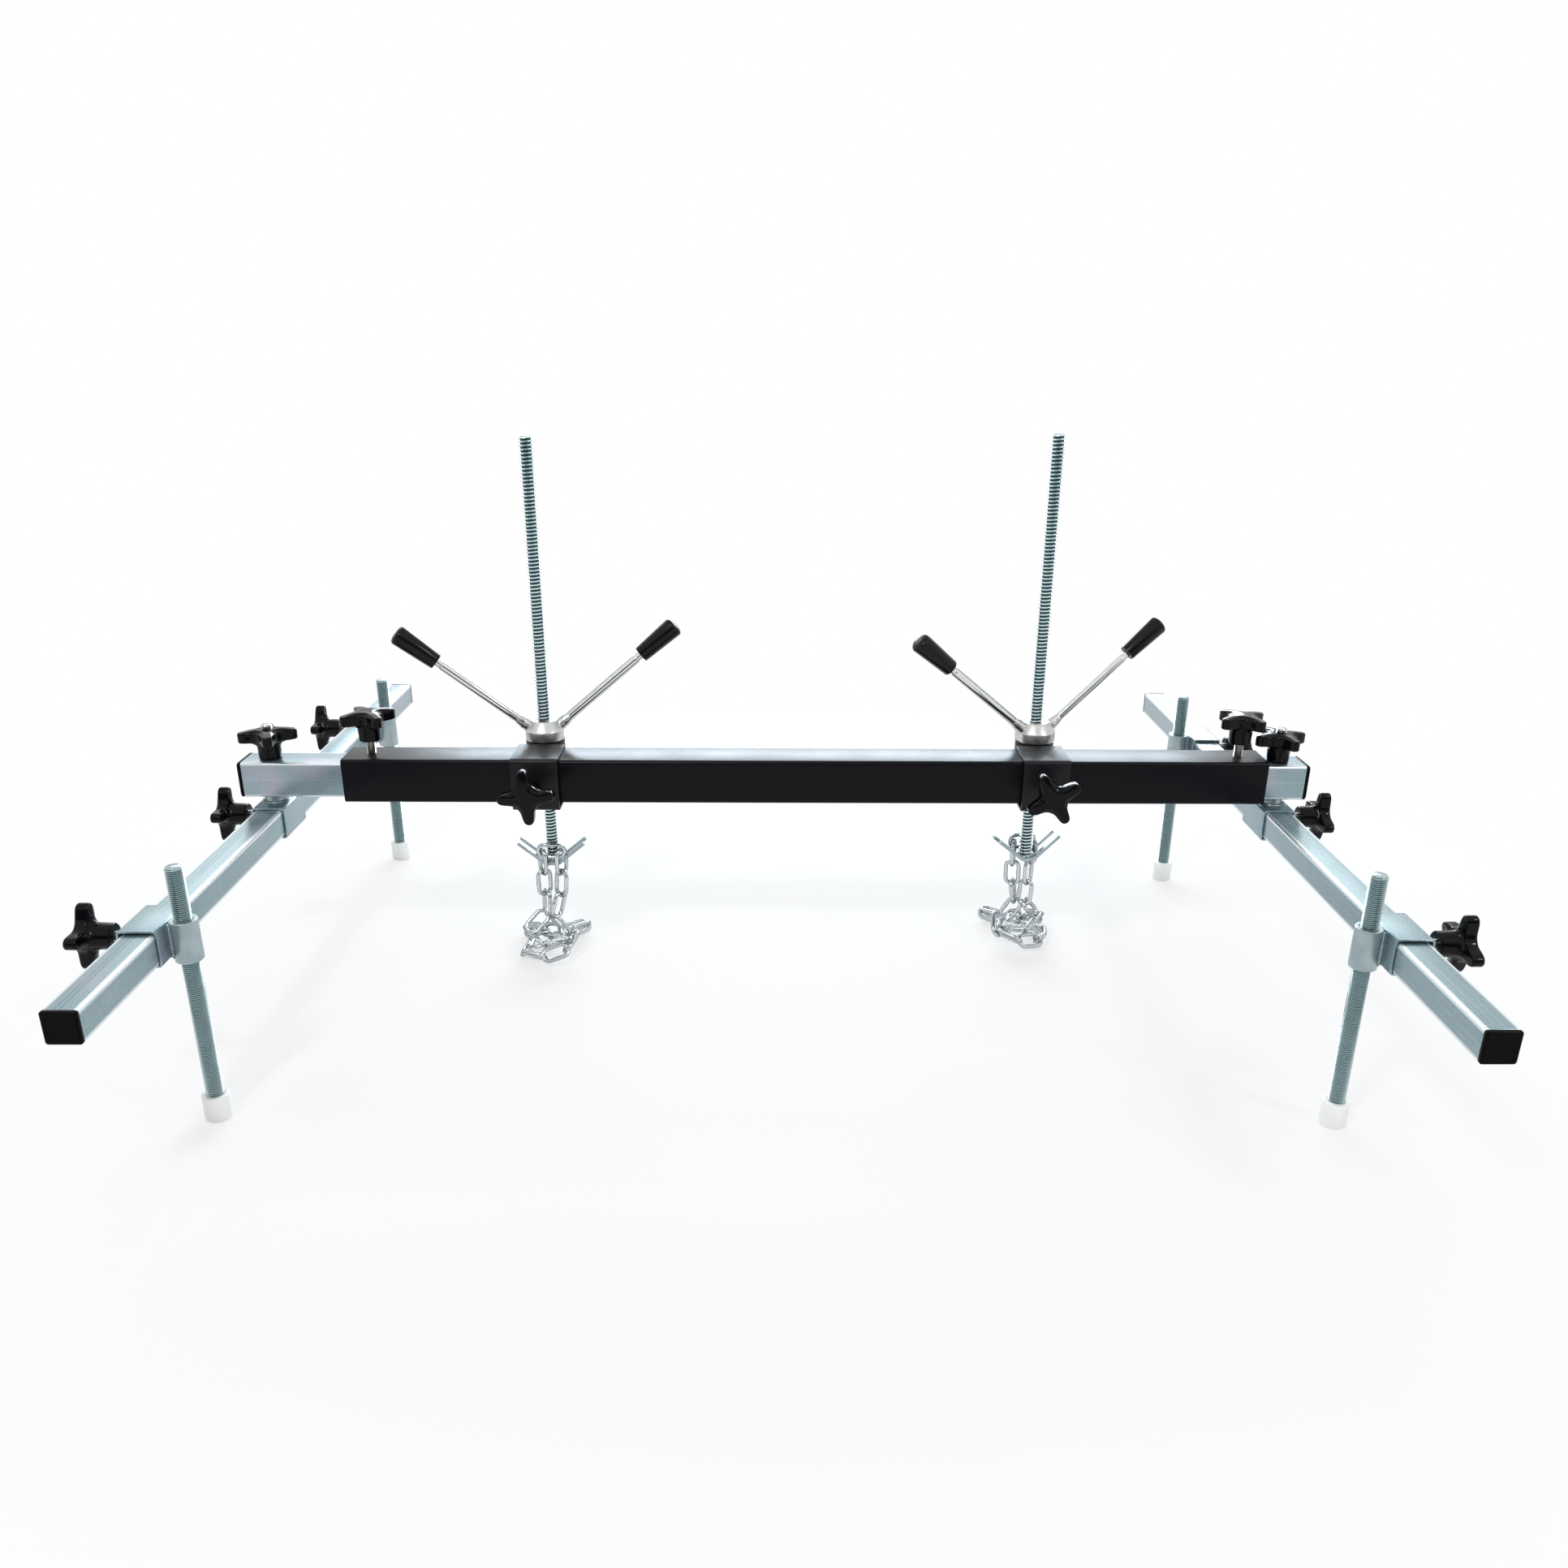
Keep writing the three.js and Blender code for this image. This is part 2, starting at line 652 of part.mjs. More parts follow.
// A foot: a sleeve with a threaded boss on its inner side, its lock, the screw and the pad
function addFoot(side, where, place, railX) {
  const name = `${side}_${where}_foot`;
  const y = place[`${where}FootReach`];
  const sleeveX = railX + place.out * sleeveSlack;
  const bossX = -place.out * bossOffset;
  const bossTop = sleeveTop - footBoss.below;
  const bossBottom = bossTop - footBoss.height;
  const boss = rod("z", footBoss.radius, bossBottom, bossTop, { x: bossX }, roundSegments);
  const hollow = railSleeve.side - railSleeve.wall;
  const railSpace = new THREE.BoxGeometry(hollow, railSleeve.side * 2, hollow * 2);
  const tube = squareTube("y", railSleeve, railSleeve.footLength);
  const sleeve = cut(joined([tube, cut(boss, [railSpace])]), [
    bore("z", footScrew.radius + boreGap, 2 * bossBottom, 2 * bossTop, { x: bossX }, roundSegments),
    outerHole(place.out),
  ]);
  addMesh(`${name}_sleeve`, sleeve, "zinc", { x: sleeveX, y, z: footSleeveZ });
  addRailLock(`${name}_lock`, place, { x: railX, y, z: footSleeveZ });
  const floor = -beam.height;
  const screwZ = floor + footPad.height - footPad.socketDepth + seatGap;
  addMesh(`${name}_screw`, chamferedRod(footScrew), "zinc", { x: sleeveX + bossX, y, z: screwZ });
  addMesh(`${name}_pad`, padGeometry(), "nylon", { x: sleeveX + bossX, y, z: floor });
}

// Lift sleeve with its guide tube on the far side and its lock on the near side
function addLiftSleeve(side, place) {
  const half = liftSleeve.side / 2;
  const behind = { y: guideY + liftSlack };
  const guide = rod("z", guideTube.radius, -half, half, behind, roundSegments);
  const guideBore = guideTube.radius - guideTube.wall;
  const hollow = liftSleeve.side - liftSleeve.wall;
  const beamSpace = new THREE.BoxGeometry(2 * liftSleeve.length, hollow, hollow);
  const carriage = cut(joined([squareTube("x", liftSleeve), cut(guide, [beamSpace])]), [
    bore("z", guideBore, -liftSleeve.side, liftSleeve.side, behind, roundSegments),
    bore("y", lockHole, -liftSleeve.side, 0, { x: place.liftLock, z: liftSlack }),
  ]);
  const at = { x: place.lift, y: -liftSlack, z: -liftSlack };
  addMesh(`${side}_lift_sleeve`, carriage, "black", at);
  const lockPlace = { x: place.lift + place.liftLock };
  const tip = beam.side / 2 + seatGap;
  addLock(`${side}_lift_lock`, half + liftSlack, tip, "+y", lockPlace, place.knobTurns.lift);
}

// The lift: hub with its grips, the lift screw with its hook, and the chain laid over the hook
function addLift(side, place) {
  const onHub = { x: place.lift, y: guideY, z: hubZ, turnZ: deg(place.handleTurn) };
  addMesh(`${side}_lift_hub`, hubGeometry(), "bright", onHub);
  for (const [where, turn] of Object.entries({ left: Math.PI, right: 0 })) {
    addMesh(`${side}_lift_${where}_grip`, gripGeometry().rotateZ(turn), "plastic", onHub);
  }
  const hookZ = -place.hookDrop;
  const foot = chamferedRod(liftScrew).translate(0, 0, -hook.thickness / 2);
  const spindle = joined([foot, hookGeometry()]);
  const turnZ = deg(place.hookTurn);
  addMesh(`${side}_lift_screw`, spindle, "zinc", { x: place.lift, y: guideY, z: hookZ, turnZ });
  const floorPlace = { x: place.lift, y: guideY, z: -beam.height };
  addMesh(`${side}_chain`, chainGeometry(place, beam.height + hookZ), "zinc", floorPlace);
}

addBeam();
for (const [side, place] of Object.entries(sides)) {
  const boltX = place.out * (beam.length / 2 + place.reach - extension.boltInset);
  const railX = boltX - place.out * sleeveSlack;
  addExtension(side, place, boltX);
  addSwivel(side, place, boltX);
  addRail(side, place, railX);
  addFoot(side, "front", place, railX);
  addFoot(side, "rear", place, railX);
  addLiftSleeve(side, place);
  addLift(side, place);
}

// The whole stands on z = 0, centred over the origin
const bounds = new THREE.Box3().setFromObject(model);
const centre = bounds.getCenter(new THREE.Vector3());
model.position.set(-centre.x, -centre.y, -bounds.min.z);

export default model;
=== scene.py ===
"""Engine support bar: its visible pieces, finishes, light and camera. Sizes are in millimetres."""

import json
from math import atan2, ceil, cos, exp, hypot, pi, radians, sin, sqrt, tan, tau
from types import SimpleNamespace as Sizes

import bmesh
import bpy
from mathutils import Matrix, Vector, noise

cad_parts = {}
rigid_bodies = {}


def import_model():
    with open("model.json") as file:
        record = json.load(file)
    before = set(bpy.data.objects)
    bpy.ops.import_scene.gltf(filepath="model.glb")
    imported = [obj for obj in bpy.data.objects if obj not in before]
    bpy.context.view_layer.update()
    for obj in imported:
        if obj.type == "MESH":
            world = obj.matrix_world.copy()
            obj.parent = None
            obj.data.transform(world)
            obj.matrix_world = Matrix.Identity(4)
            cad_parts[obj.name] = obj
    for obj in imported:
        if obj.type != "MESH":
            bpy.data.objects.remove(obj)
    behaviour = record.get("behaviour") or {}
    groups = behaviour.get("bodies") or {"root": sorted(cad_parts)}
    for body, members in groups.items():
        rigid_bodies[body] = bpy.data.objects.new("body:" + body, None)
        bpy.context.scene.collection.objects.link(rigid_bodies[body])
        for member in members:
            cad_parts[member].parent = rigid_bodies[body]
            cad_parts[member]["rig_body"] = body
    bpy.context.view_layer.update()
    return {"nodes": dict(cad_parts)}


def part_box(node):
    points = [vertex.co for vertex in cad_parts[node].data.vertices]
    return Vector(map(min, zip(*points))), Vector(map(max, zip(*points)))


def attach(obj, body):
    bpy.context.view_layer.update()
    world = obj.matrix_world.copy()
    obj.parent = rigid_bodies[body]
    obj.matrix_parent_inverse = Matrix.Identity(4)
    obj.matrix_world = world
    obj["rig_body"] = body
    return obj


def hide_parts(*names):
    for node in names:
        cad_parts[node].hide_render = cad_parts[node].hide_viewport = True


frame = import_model()
nodes = frame["nodes"]

MM = 0.001
UP = Vector((0, 0, 1))
WHITE = (1, 1, 1)
SIDES = {"left": -1, "right": 1}

# Square tubes and their end caps
beam = Sizes(side=50, wall=4, corner=4)
extension = Sizes(side=40, wall=2.5, corner=3)
rail = Sizes(side=30, wall=2, corner=2.5)
rail_sleeve = Sizes(side=36, wall=2, corner=3.5)
lift_sleeve = Sizes(side=60, wall=3, corner=4.5)
tube_end_edge = 0.5
plug = Sizes(flange=4.2, depth=10, bevel=1.4, play=0.3, gap=0.3, rim=2.2, dip=0.5)
plug_edge = 0.45

# Locks: a screw and a four-lobed knob
stud = Sizes(radius=5, pitch=1.5, depth=0.92, hole=5.3, pocket=12)
knob = Sizes(
    tip=31, lobe=5.5, valley=15.5, under=20, under_edge=1.4, shoulder=31.5, height=34, edge=2.2,
    boss=12, boss_edge=0.8, boss_top=12.5, boss_height=14, hub=9, crown=0.2, crown_share=0.4,
)
lobe_end_angle = 72
flank_pull_share = 0.42

# Swivels
swivel_bolt = Sizes(radius=6, pitch=1.75, depth=1.07, knob_play=0.3)
collar = Sizes(foot=13, top=11, height=9.2, sunk=1, core=0.5, edge=0.8)
collar_weld = Sizes(out=0.5, rise=0.4, points=90)

# Feet
foot_screw = Sizes(radius=8, pitch=2, depth=1.23)
foot_boss = Sizes(radius=12.5, hole=8.3, edge=0.8, drop=1)
foot_weld = Sizes(radius=1.9, share=0.62, sunk=0.8, foot=4, top=1)
foot_pad = Sizes(radius=12.7, socket=8.3, height=26, socket_depth=20, edge=2.4, lip=0.7)

# Lifts
guide = Sizes(radius=22, wall=5, edge=0.8, play=0.4)
guide_weld = Sizes(radius=2.4, share=0.55, out=1.4, end=1)
lift_screw = Sizes(radius=8, pitch=4, depth=2, start=2)
hub = Sizes(radius=23, band=11, top=15, height=22, spigot=9, bore=8.3, edge=0.7, flat=21.4)
handle = Sizes(radius=5, rise=39.4, start=13, reach=170, neck=4.2, neck_length=7, edge=0.7)
handle_weld = Sizes(radius=7.6, length=22, roundness=0.8, thinning=0.6)
handle_weld_lumps = Sizes(size=1.1, scale=0.35, calming=0.7)
grip = Sizes(length=53, tip=11.5, mouth=9.3, dome=4.5, cover=40, hole=4.5, rim=0.8)
dome_power = 0.6
hook = Sizes(width=22, thickness=4, rise=39.5, span=39.5, flat=8, bend=9, edge=0.7)
hook_slot = Sizes(width=12, start=7.4)
hook_weld = Sizes(radius=1.4, out=0.3, rise=0.3, points=60)

# Chains and the way they lie
chain = Sizes(wire=2.5, inside=26, inside_width=10.5, pitch=26.7, links=11)
chain_weld = Sizes(height=0.45, fall=9)
link_bend = chain.inside_width / 2 + chain.wire
link_straight = (chain.inside - chain.inside_width) / 2
lay = Sizes(
    yaw=35, bite=0.5, slide=1.4, settle=1.2, gap=0.3, heap_radius=27, inner_share=0.72, layer=14,
    tail=46, sweep=250, turn_steps=6, spread_share=0.25, twist_share=0.67, slack_share=0.125,
)
heap_places = {"left": (-6, -26), "right": (2, 14)}

# Turns in the photograph, in degrees
hook_turns = {"left": 0, "right": 16}
handle_turns = {"left": 9.4, "right": 18.5}
knob_turns = {
    "left": {"extension": 38, "swivel": 19, "rail": 10, "lift": 5},
    "right": {"extension": 30, "swivel": 15, "rail": 10, "lift": 30},
}

# Weld beads, and the small flat that closes a turned form at its axis
bead_radius = 1.5
bead_sides = 10
ripple = Sizes(pitch=2.4, height=0.12, wobble=0.18, wobble_scale=0.3)
taper = Sizes(tip=0.35, points=3)
core = 0.6

# Angles in degrees below which neighbouring faces shade as one surface
form_angle, plate_angle, thread_angle, weld_angle = 32, 40, 50, 60


# Places in the frame
def low(node):
    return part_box(node)[0] / MM


def high(node):
    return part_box(node)[1] / MM


def middle(node):
    return (low(node) + high(node)) / 2


def end_of(node, index, way):
    return (high(node) if way > 0 else low(node))[index]


# Forms: a form is a list of points and a list of faces
def eased(path, edge, closed=False, steps=3, most=0.45):
    """The path with rounded corners, each from one edge away, or from that share of a side if it is less."""
    points = [Vector(p) for p in path]
    count = len(points)
    result = []
    for i, point in enumerate(points):
        if not closed and i in (0, count - 1):
            result.append(point)
            continue
        before, after = points[i - 1], points[(i + 1) % count]
        reach_in = min(edge, (before - point).length * most)
        reach_out = min(edge, (after - point).length * most)
        start = point + (before - point).normalized() * reach_in
        end = point + (after - point).normalized() * reach_out
        for k in range(steps + 1):
            t = k / steps
            result.append(start * (1 - t) ** 2 + point * 2 * t * (1 - t) + end * t**2)
    return result


def loft(rings, closed=False):
    """A skin over rings of points, closed on itself or with a face over each end."""
    count = len(rings[0])
    points = [Vector(p) for ring in rings for p in ring]
    faces = []
    for r in range(len(rings) if closed else len(rings) - 1):
        a = r * count
        b = (r + 1) % len(rings) * count
        for i in range(count):
            j = (i + 1) % count
            faces.append((a + i, a + j, b + j, b + i))
    if not closed:
        last = (len(rings) - 1) * count
        faces.append(tuple(reversed(range(count))))
        faces.append(tuple(range(last, last + count)))
    return points, faces


def joined(*forms):
    points, faces = [], []
    for more_points, more_faces in forms:
        start = len(points)
        points += more_points
        faces += [tuple(i + start for i in face) for face in more_faces]
    return points, faces


def placed(form, *matrices):
    points, faces = form
    whole = Matrix.Identity(4)
    for matrix in matrices:
        whole = matrix @ whole
    return [whole @ p for p in points], faces


def shifted(x=0, y=0, z=0):
    return Matrix.Translation((x, y, z))


def turned(angle, axis):
    return Matrix.Rotation(radians(angle), 4, axis)


LENGTHWISE = {"x": turned(90, "Y"), "y": turned(-90, "X")}


def quarter(steps, first=0):
    """Sine and cosine at equal steps through a quarter turn."""
    angles = (k / steps * pi / 2 for k in range(first, steps + 1))
    return [(sin(angle), cos(angle)) for angle in angles]


def polar(radius, angle, z=0):
    return Vector((radius * cos(angle), radius * sin(angle), z))


def circle(radius, z, around):
    return [polar(radius, tau * i / around, z) for i in range(around)]


def lathe(profile, around=48, closed=False):
    return loft([circle(r, z, around) for r, z in profile], closed)


def pipe(inner, outer, bottom, top, edge, around):
    """A round tube with eased ends."""
    path = [(inner, bottom), (outer, bottom), (outer, top), (inner, top)]
    return lathe(eased(path, edge, closed=True), around, closed=True)


def square_ring(side, corner, z, steps=5):
    straight = side / 2 - corner
    ring = []
    for number in range(4):
        turn = Matrix.Rotation(number * pi / 2, 4, "Z")
        for sine, cosine in quarter(steps):
            ring.append(turn @ Vector((straight + corner * cosine, straight + corner * sine, z)))
    return ring


def square_tube(size, length, axis):
    """A square tube round the origin, whose end edges are eased."""
    half = length / 2
    wall = size.wall
    path = eased([(0, -half), (0, half), (wall, half), (wall, -half)], tube_end_edge, closed=True)
    least_corner = wall / 4
    rings = []
    for inset, z in path:
        corner = max(size.corner - inset, least_corner)
        rings.append(square_ring(size.side - 2 * inset, corner, z))
    return placed(loft(rings, closed=True), LENGTHWISE[axis])


def tube_between(node, size, axis):
    """The square tube that fills a node's length, centred on the node."""
    index = "xyz".index(axis)
    span = high(node) - low(node)
    return placed(square_tube(size, span[index], axis), Matrix.Translation(middle(node)))


def end_cap(size, outward):
    """A pressed-in cap at the origin: its flange stands outwards, and its plug reaches into the tube."""
    side, gap, bevel = size.side, plug.gap, plug.bevel
    shank = side - 2 * (size.wall + plug.play)
    top = gap + plug.flange
    inner = side - 2 * (bevel + plug.rim)
    path = [(shank, gap - plug.depth), (shank, gap), (side, gap), (side, top - bevel)]
    path += [(side - 2 * bevel, top), (inner, top), (inner - 2 * plug.dip, top - plug.dip)]
    rings = [square_ring(width, min(size.corner, width / 4), z) for width, z in eased(path, plug_edge)]
    return placed(loft(rings), UP.rotation_difference(outward).to_matrix().to_4x4())


# Rows of a thread within one pitch: the share of the pitch, and how far it is sunk
V_THREAD = ((0, 0), (1 / 8, 0), (1 / 2, 1), (3 / 4, 1))
TRAPEZOID_THREAD = ((0, 0), (0.36, 0), (0.5, 1), (0.86, 1))


def thread(size, length, profile=V_THREAD, around=28, end_share=0.96):
    """A threaded rod standing on z = 0: its rows of points follow the helix, and each end is chamfered."""
    rows = len(profile)
    turns = ceil(length / size.pitch) + 2
    end_radius = (size.radius - size.depth) * end_share
    points = []
    for i in range(turns * rows + rows):
        share, sunk = profile[i % rows]
        for j in range(around):
            z = (i // rows + share + j / around - 1) * size.pitch
            z = min(max(z, 0), length)
            radius = min(size.radius - size.depth * sunk, end_radius + min(z, length - z))
            points.append(polar(radius, tau * j / around, z))
    faces = []
    for i in range(turns * rows - 1):
        for j in range(around):
            a = i * around + j
            b = a + 1 if j + 1 < around else (i + rows) * around
            faces.append((a, b, b + around, a + around))
    return points, faces


def spline(points, samples_between=200):
    """Places and directions along a centripetal Catmull-Rom curve, at shares of its length."""
    last = len(points) - 1

    def place(t):
        step = min(max(t, 0), 1) * last
        i = min(int(step), last - 1)
        w = step - i
        p1, p2 = points[i], points[i + 1]
        p0 = points[i - 1] if i > 0 else p1 * 2 - p2
        p3 = points[i + 2] if i + 2 <= last else p2 * 2 - p1
        d0, d1, d2 = (sqrt((b - a).length) for a, b in ((p0, p1), (p1, p2), (p2, p3)))
        leave = ((p1 - p0) / d0 - (p2 - p0) / (d0 + d1) + (p2 - p1) / d1) * d1
        arrive = ((p2 - p1) / d1 - (p3 - p1) / (d1 + d2) + (p3 - p2) / d2) * d1
        square = (p2 - p1) * 3 - leave * 2 - arrive
        cube = (p1 - p2) * 2 + leave + arrive
        return p1 + leave * w + square * w**2 + cube * w**3

    lengths = [0.0]
    for k in range(samples_between):
        step = place((k + 1) / samples_between) - place(k / samples_between)
        lengths.append(lengths[-1] + step.length)

    def at(share):
        goal = share * lengths[-1]
        k = next((i for i in range(samples_between) if lengths[i + 1] >= goal), samples_between - 1)
        t = (k + (goal - lengths[k]) / (lengths[k + 1] - lengths[k])) / samples_between
        nudge = 1e-4
        along = (place(min(t + nudge, 1)) - place(max(t - nudge, 0))).normalized()
        return place(t), along

    return lengths[-1], at


# Knob
def lobe_outline(lobe_steps=8, flank_steps=16):
    """An eighth of the knob's outline: round a lobe from its tip, then along a hollow flank to the valley."""
    tip = Vector((knob.tip - knob.lobe, 0))
    end = radians(lobe_end_angle)
    outline = []
    for k in range(lobe_steps + 1):
        angle = k / lobe_steps * end
        outline.append(tip + Vector((cos(angle), sin(angle))) * knob.lobe)
    start = outline[-1]
    valley = Vector((1, 1)).normalized() * knob.valley
    pull = (valley - start).length * flank_pull_share
    leave = start + Vector((-sin(end), cos(end))) * pull
    arrive = valley + Vector((1, -1)).normalized() * pull
    for k in range(1, flank_steps + 1):
        t = k / flank_steps
        u = 1 - t
        outline.append(start * u**3 + leave * 3 * u * u * t + arrive * 3 * u * t * t + valley * t**3)
    return outline


def lobe_radii(around=144):
    """Distance of the knob's outline from its axis, at equal angles."""
    outline = lobe_outline()
    angles = [atan2(p.y, p.x) for p in outline]
    radii = []
    for i in range(around):
        turn = tau * i / around % (pi / 2)
        turn = min(turn, pi / 2 - turn)
        k = next((n for n in range(1, len(angles)) if angles[n] >= turn - 1e-9), len(angles) - 1)
        share = (turn - angles[k - 1]) / (angles[k] - angles[k - 1])
        radii.append(outline[k - 1].length * (1 - share) + outline[k].length * share)
    return radii


KNOB_RADII = lobe_radii()


def knob_form(hole=None):
    """The knob standing on z = 0: boss, flare, lobes and crown, with a hole through it or a pocket below."""
    flare = knob.under - knob.boss_height
    top, shoulder = knob.height, knob.shoulder
    crown_steps = 5
    rows = [(0, 0, knob.boss - knob.boss_edge, 0), (0, 0, knob.boss, knob.boss_edge)]
    rows.append((0, 0, knob.boss_top, knob.boss_height))
    for sine, cosine in quarter(6, 1):
        rows.append((1 - cosine, knob.under_edge, knob.boss_top, knob.boss_height + flare * sine))
    for sine, cosine in quarter(3, 1):
        rise = knob.under_edge * (1 - cosine)
        rows.append((1, knob.under_edge * (1 - sine), 0, knob.under + rise))
    for sine, cosine in quarter(5):
        rows.append((1, knob.edge * (1 - cosine), 0, shoulder - knob.edge * (1 - sine)))
    for k, (sine, _) in enumerate(quarter(crown_steps, 1), 1):
        rows.append((1 - k / crown_steps, knob.edge, knob.hub, shoulder + (top - shoulder) * sine))
    rings = []
    count = len(KNOB_RADII)
    for lobed, inset, plain, z in rows:
        ring = []
        for i, reach in enumerate(KNOB_RADII):
            radius = (reach - inset) * lobed + plain * (1 - lobed)
            ring.append(polar(radius, tau * i / count, z))
        rings.append(ring)
    if hole:
        rings += [circle(hole, top, count), circle(hole, 0, count)]
        return loft(rings, closed=True)
    crown = circle(knob.hub * knob.crown_share, top + knob.crown, count)
    pocket = [circle(stud.hole, z, count) for z in (stud.pocket, 0)]
    return loft(pocket + rings + [crown])


def lock_pose(lock):
    """Turns a lock that stands on z = 0 the way its knob points: up, to the front or outwards."""
    if "extension_lock" in lock:
        return Matrix.Identity(4)
    if "lift_lock" in lock:
        return turned(90, "X")
    return turned(-90 if lock.startswith("left") else 90, "Y")


# Chain
def link_form(around=14, bend_steps=10, side_steps=8):
    """A wire bent to a long link round the origin, its length along X, with its weld in one long side."""
    centres = []
    for end in (1, -1):
        for k in range(bend_steps + 1):
            angle = (k / bend_steps - 0.5) * pi
            out = polar(1, angle) * end
            centres.append((out * link_bend + Vector((link_straight * end, 0, 0)), out, 0))
        for k in range(1, side_steps):
            share = k / side_steps
            swell = exp(-((share - 0.5) * chain_weld.fall) ** 2) * (end > 0)
            at = Vector((link_straight * (1 - 2 * share), link_bend, 0)) * end
            centres.append((at, Vector((0, end, 0)), swell))
    rings = []
    for at, out, swell in centres:
        radius = chain.wire + chain_weld.height * swell
        ring = []
        for s in range(around):
            angle = tau * s / around
            ring.append(at + (out * cos(angle) + UP * sin(angle)) * radius)
        rings.append(ring)
    return loft(rings, closed=True)


def chain_links(side):
    """Where each link of a chain lies: the middle link on the hook, and two strands that fall to a heap."""
    out = SIDES[side]
    rise = radians(hook.rise)
    flat_top = hook.flat - hook.thickness * tan(rise / 2)
    turn = turned(hook_turns[side], "Z")
    plate = low(f"{side}_lift_screw").z + hook.thickness
    middle_y = out * (lift_screw.radius + chain.wire + lay.gap)
    above_hook = (link_bend + chain.wire + lay.gap) / cos(rise)
    middle_z = plate + (link_straight - flat_top) * tan(rise) + above_hook
    links = [(turn @ Vector((0, middle_y, middle_z)), turn @ Vector((1, 0, 0)), UP)]
    for strand in (-1, 1):
        yaw = radians(lay.yaw)
        first_x = strand * (chain.inside / 2 - chain.wire + lay.bite)
        first_z = middle_z - link_straight - link_bend + lay.settle
        at = turn @ Vector((first_x, middle_y - out * lay.slide, first_z))
        across = turn @ Vector((strand * sin(yaw), -out * cos(yaw), 0))
        first = (at, -UP, across)
        links.append(first)
        links += hanging_links(first, strand_points(at, strand, side))
    return links


def strand_points(top, strand, side):
    """The line of one strand: down from the hook, round the heap on the floor, and out along its tail."""
    out = SIDES[side]
    heap = Vector((*heap_places[side], 0))
    lower = strand == -out
    radius = lay.heap_radius * (1 if lower else lay.inner_share)
    height = chain.inside_width + (0 if lower else lay.layer)
    fall = top.z - height
    points = [top.copy()]
    for share in (1 / 3, 2 / 3):
        point = top.lerp(heap, share**2)
        point.x += strand * chain.inside_width * lay.spread_share * share**2
        point.y -= strand * chain.inside_width * lay.twist_share * share
        point.z = top.z - fall * share
        points.append(point)
    start = 0 if strand > 0 else pi
    sweep = radians(lay.sweep) * -out * (-1 if lower else 1)
    for i in range(lay.turn_steps + 1):
        share = i / lay.turn_steps
        angle = start + share * sweep
        slack = fall * lay.slack_share * (1 - share) ** 3
        points.append(heap + polar(radius, angle, height + slack))
    away = points[-1] - points[-2]
    away.z = 0
    tail = points[-1] + away.normalized() * lay.tail
    tail.z = chain.inside_width
    return points + [tail]


def hanging_links(first, line):
    """Links one pitch apart along a line, each turned a quarter turn from the last."""
    length, at_share = spline(line)
    _, along_before, across_before = first
    links = []
    for i in range(1, chain.links + 1):
        at, along = at_share(min(i * chain.pitch / length, 1))
        normal = across_before.cross(along_before)
        across = (normal - along * normal.dot(along)).normalized()
        if hypot(along.x, along.y) > sqrt(0.5):
            across = leaning(along, across)
        at.z = max(at.z, depth_below(along, across) + lay.gap)
        links.append((at, along, across))
        along_before, across_before = along, across
    return links


def leaning(along, across):
    """A lying link leans to the side that is nearer to the given direction."""
    flat = UP.cross(along).normalized()
    rising = along.cross(flat)
    pair = [(flat + rising * way).normalized() for way in (1, -1)]
    return max(pair, key=lambda way: abs(way.dot(across)))


def depth_below(along, across):
    """How far a link with these directions reaches below its own centre."""
    return abs(along.z) * link_straight + hypot(along.z, across.z) * link_bend + chain.wire


def chain_form(side):
    link = link_form()
    links = []
    for at, along, across in chain_links(side):
        basis = Matrix((along, across, along.cross(across))).transposed().to_4x4()
        links.append(placed(link, basis, Matrix.Translation(at)))
    return joined(*links)


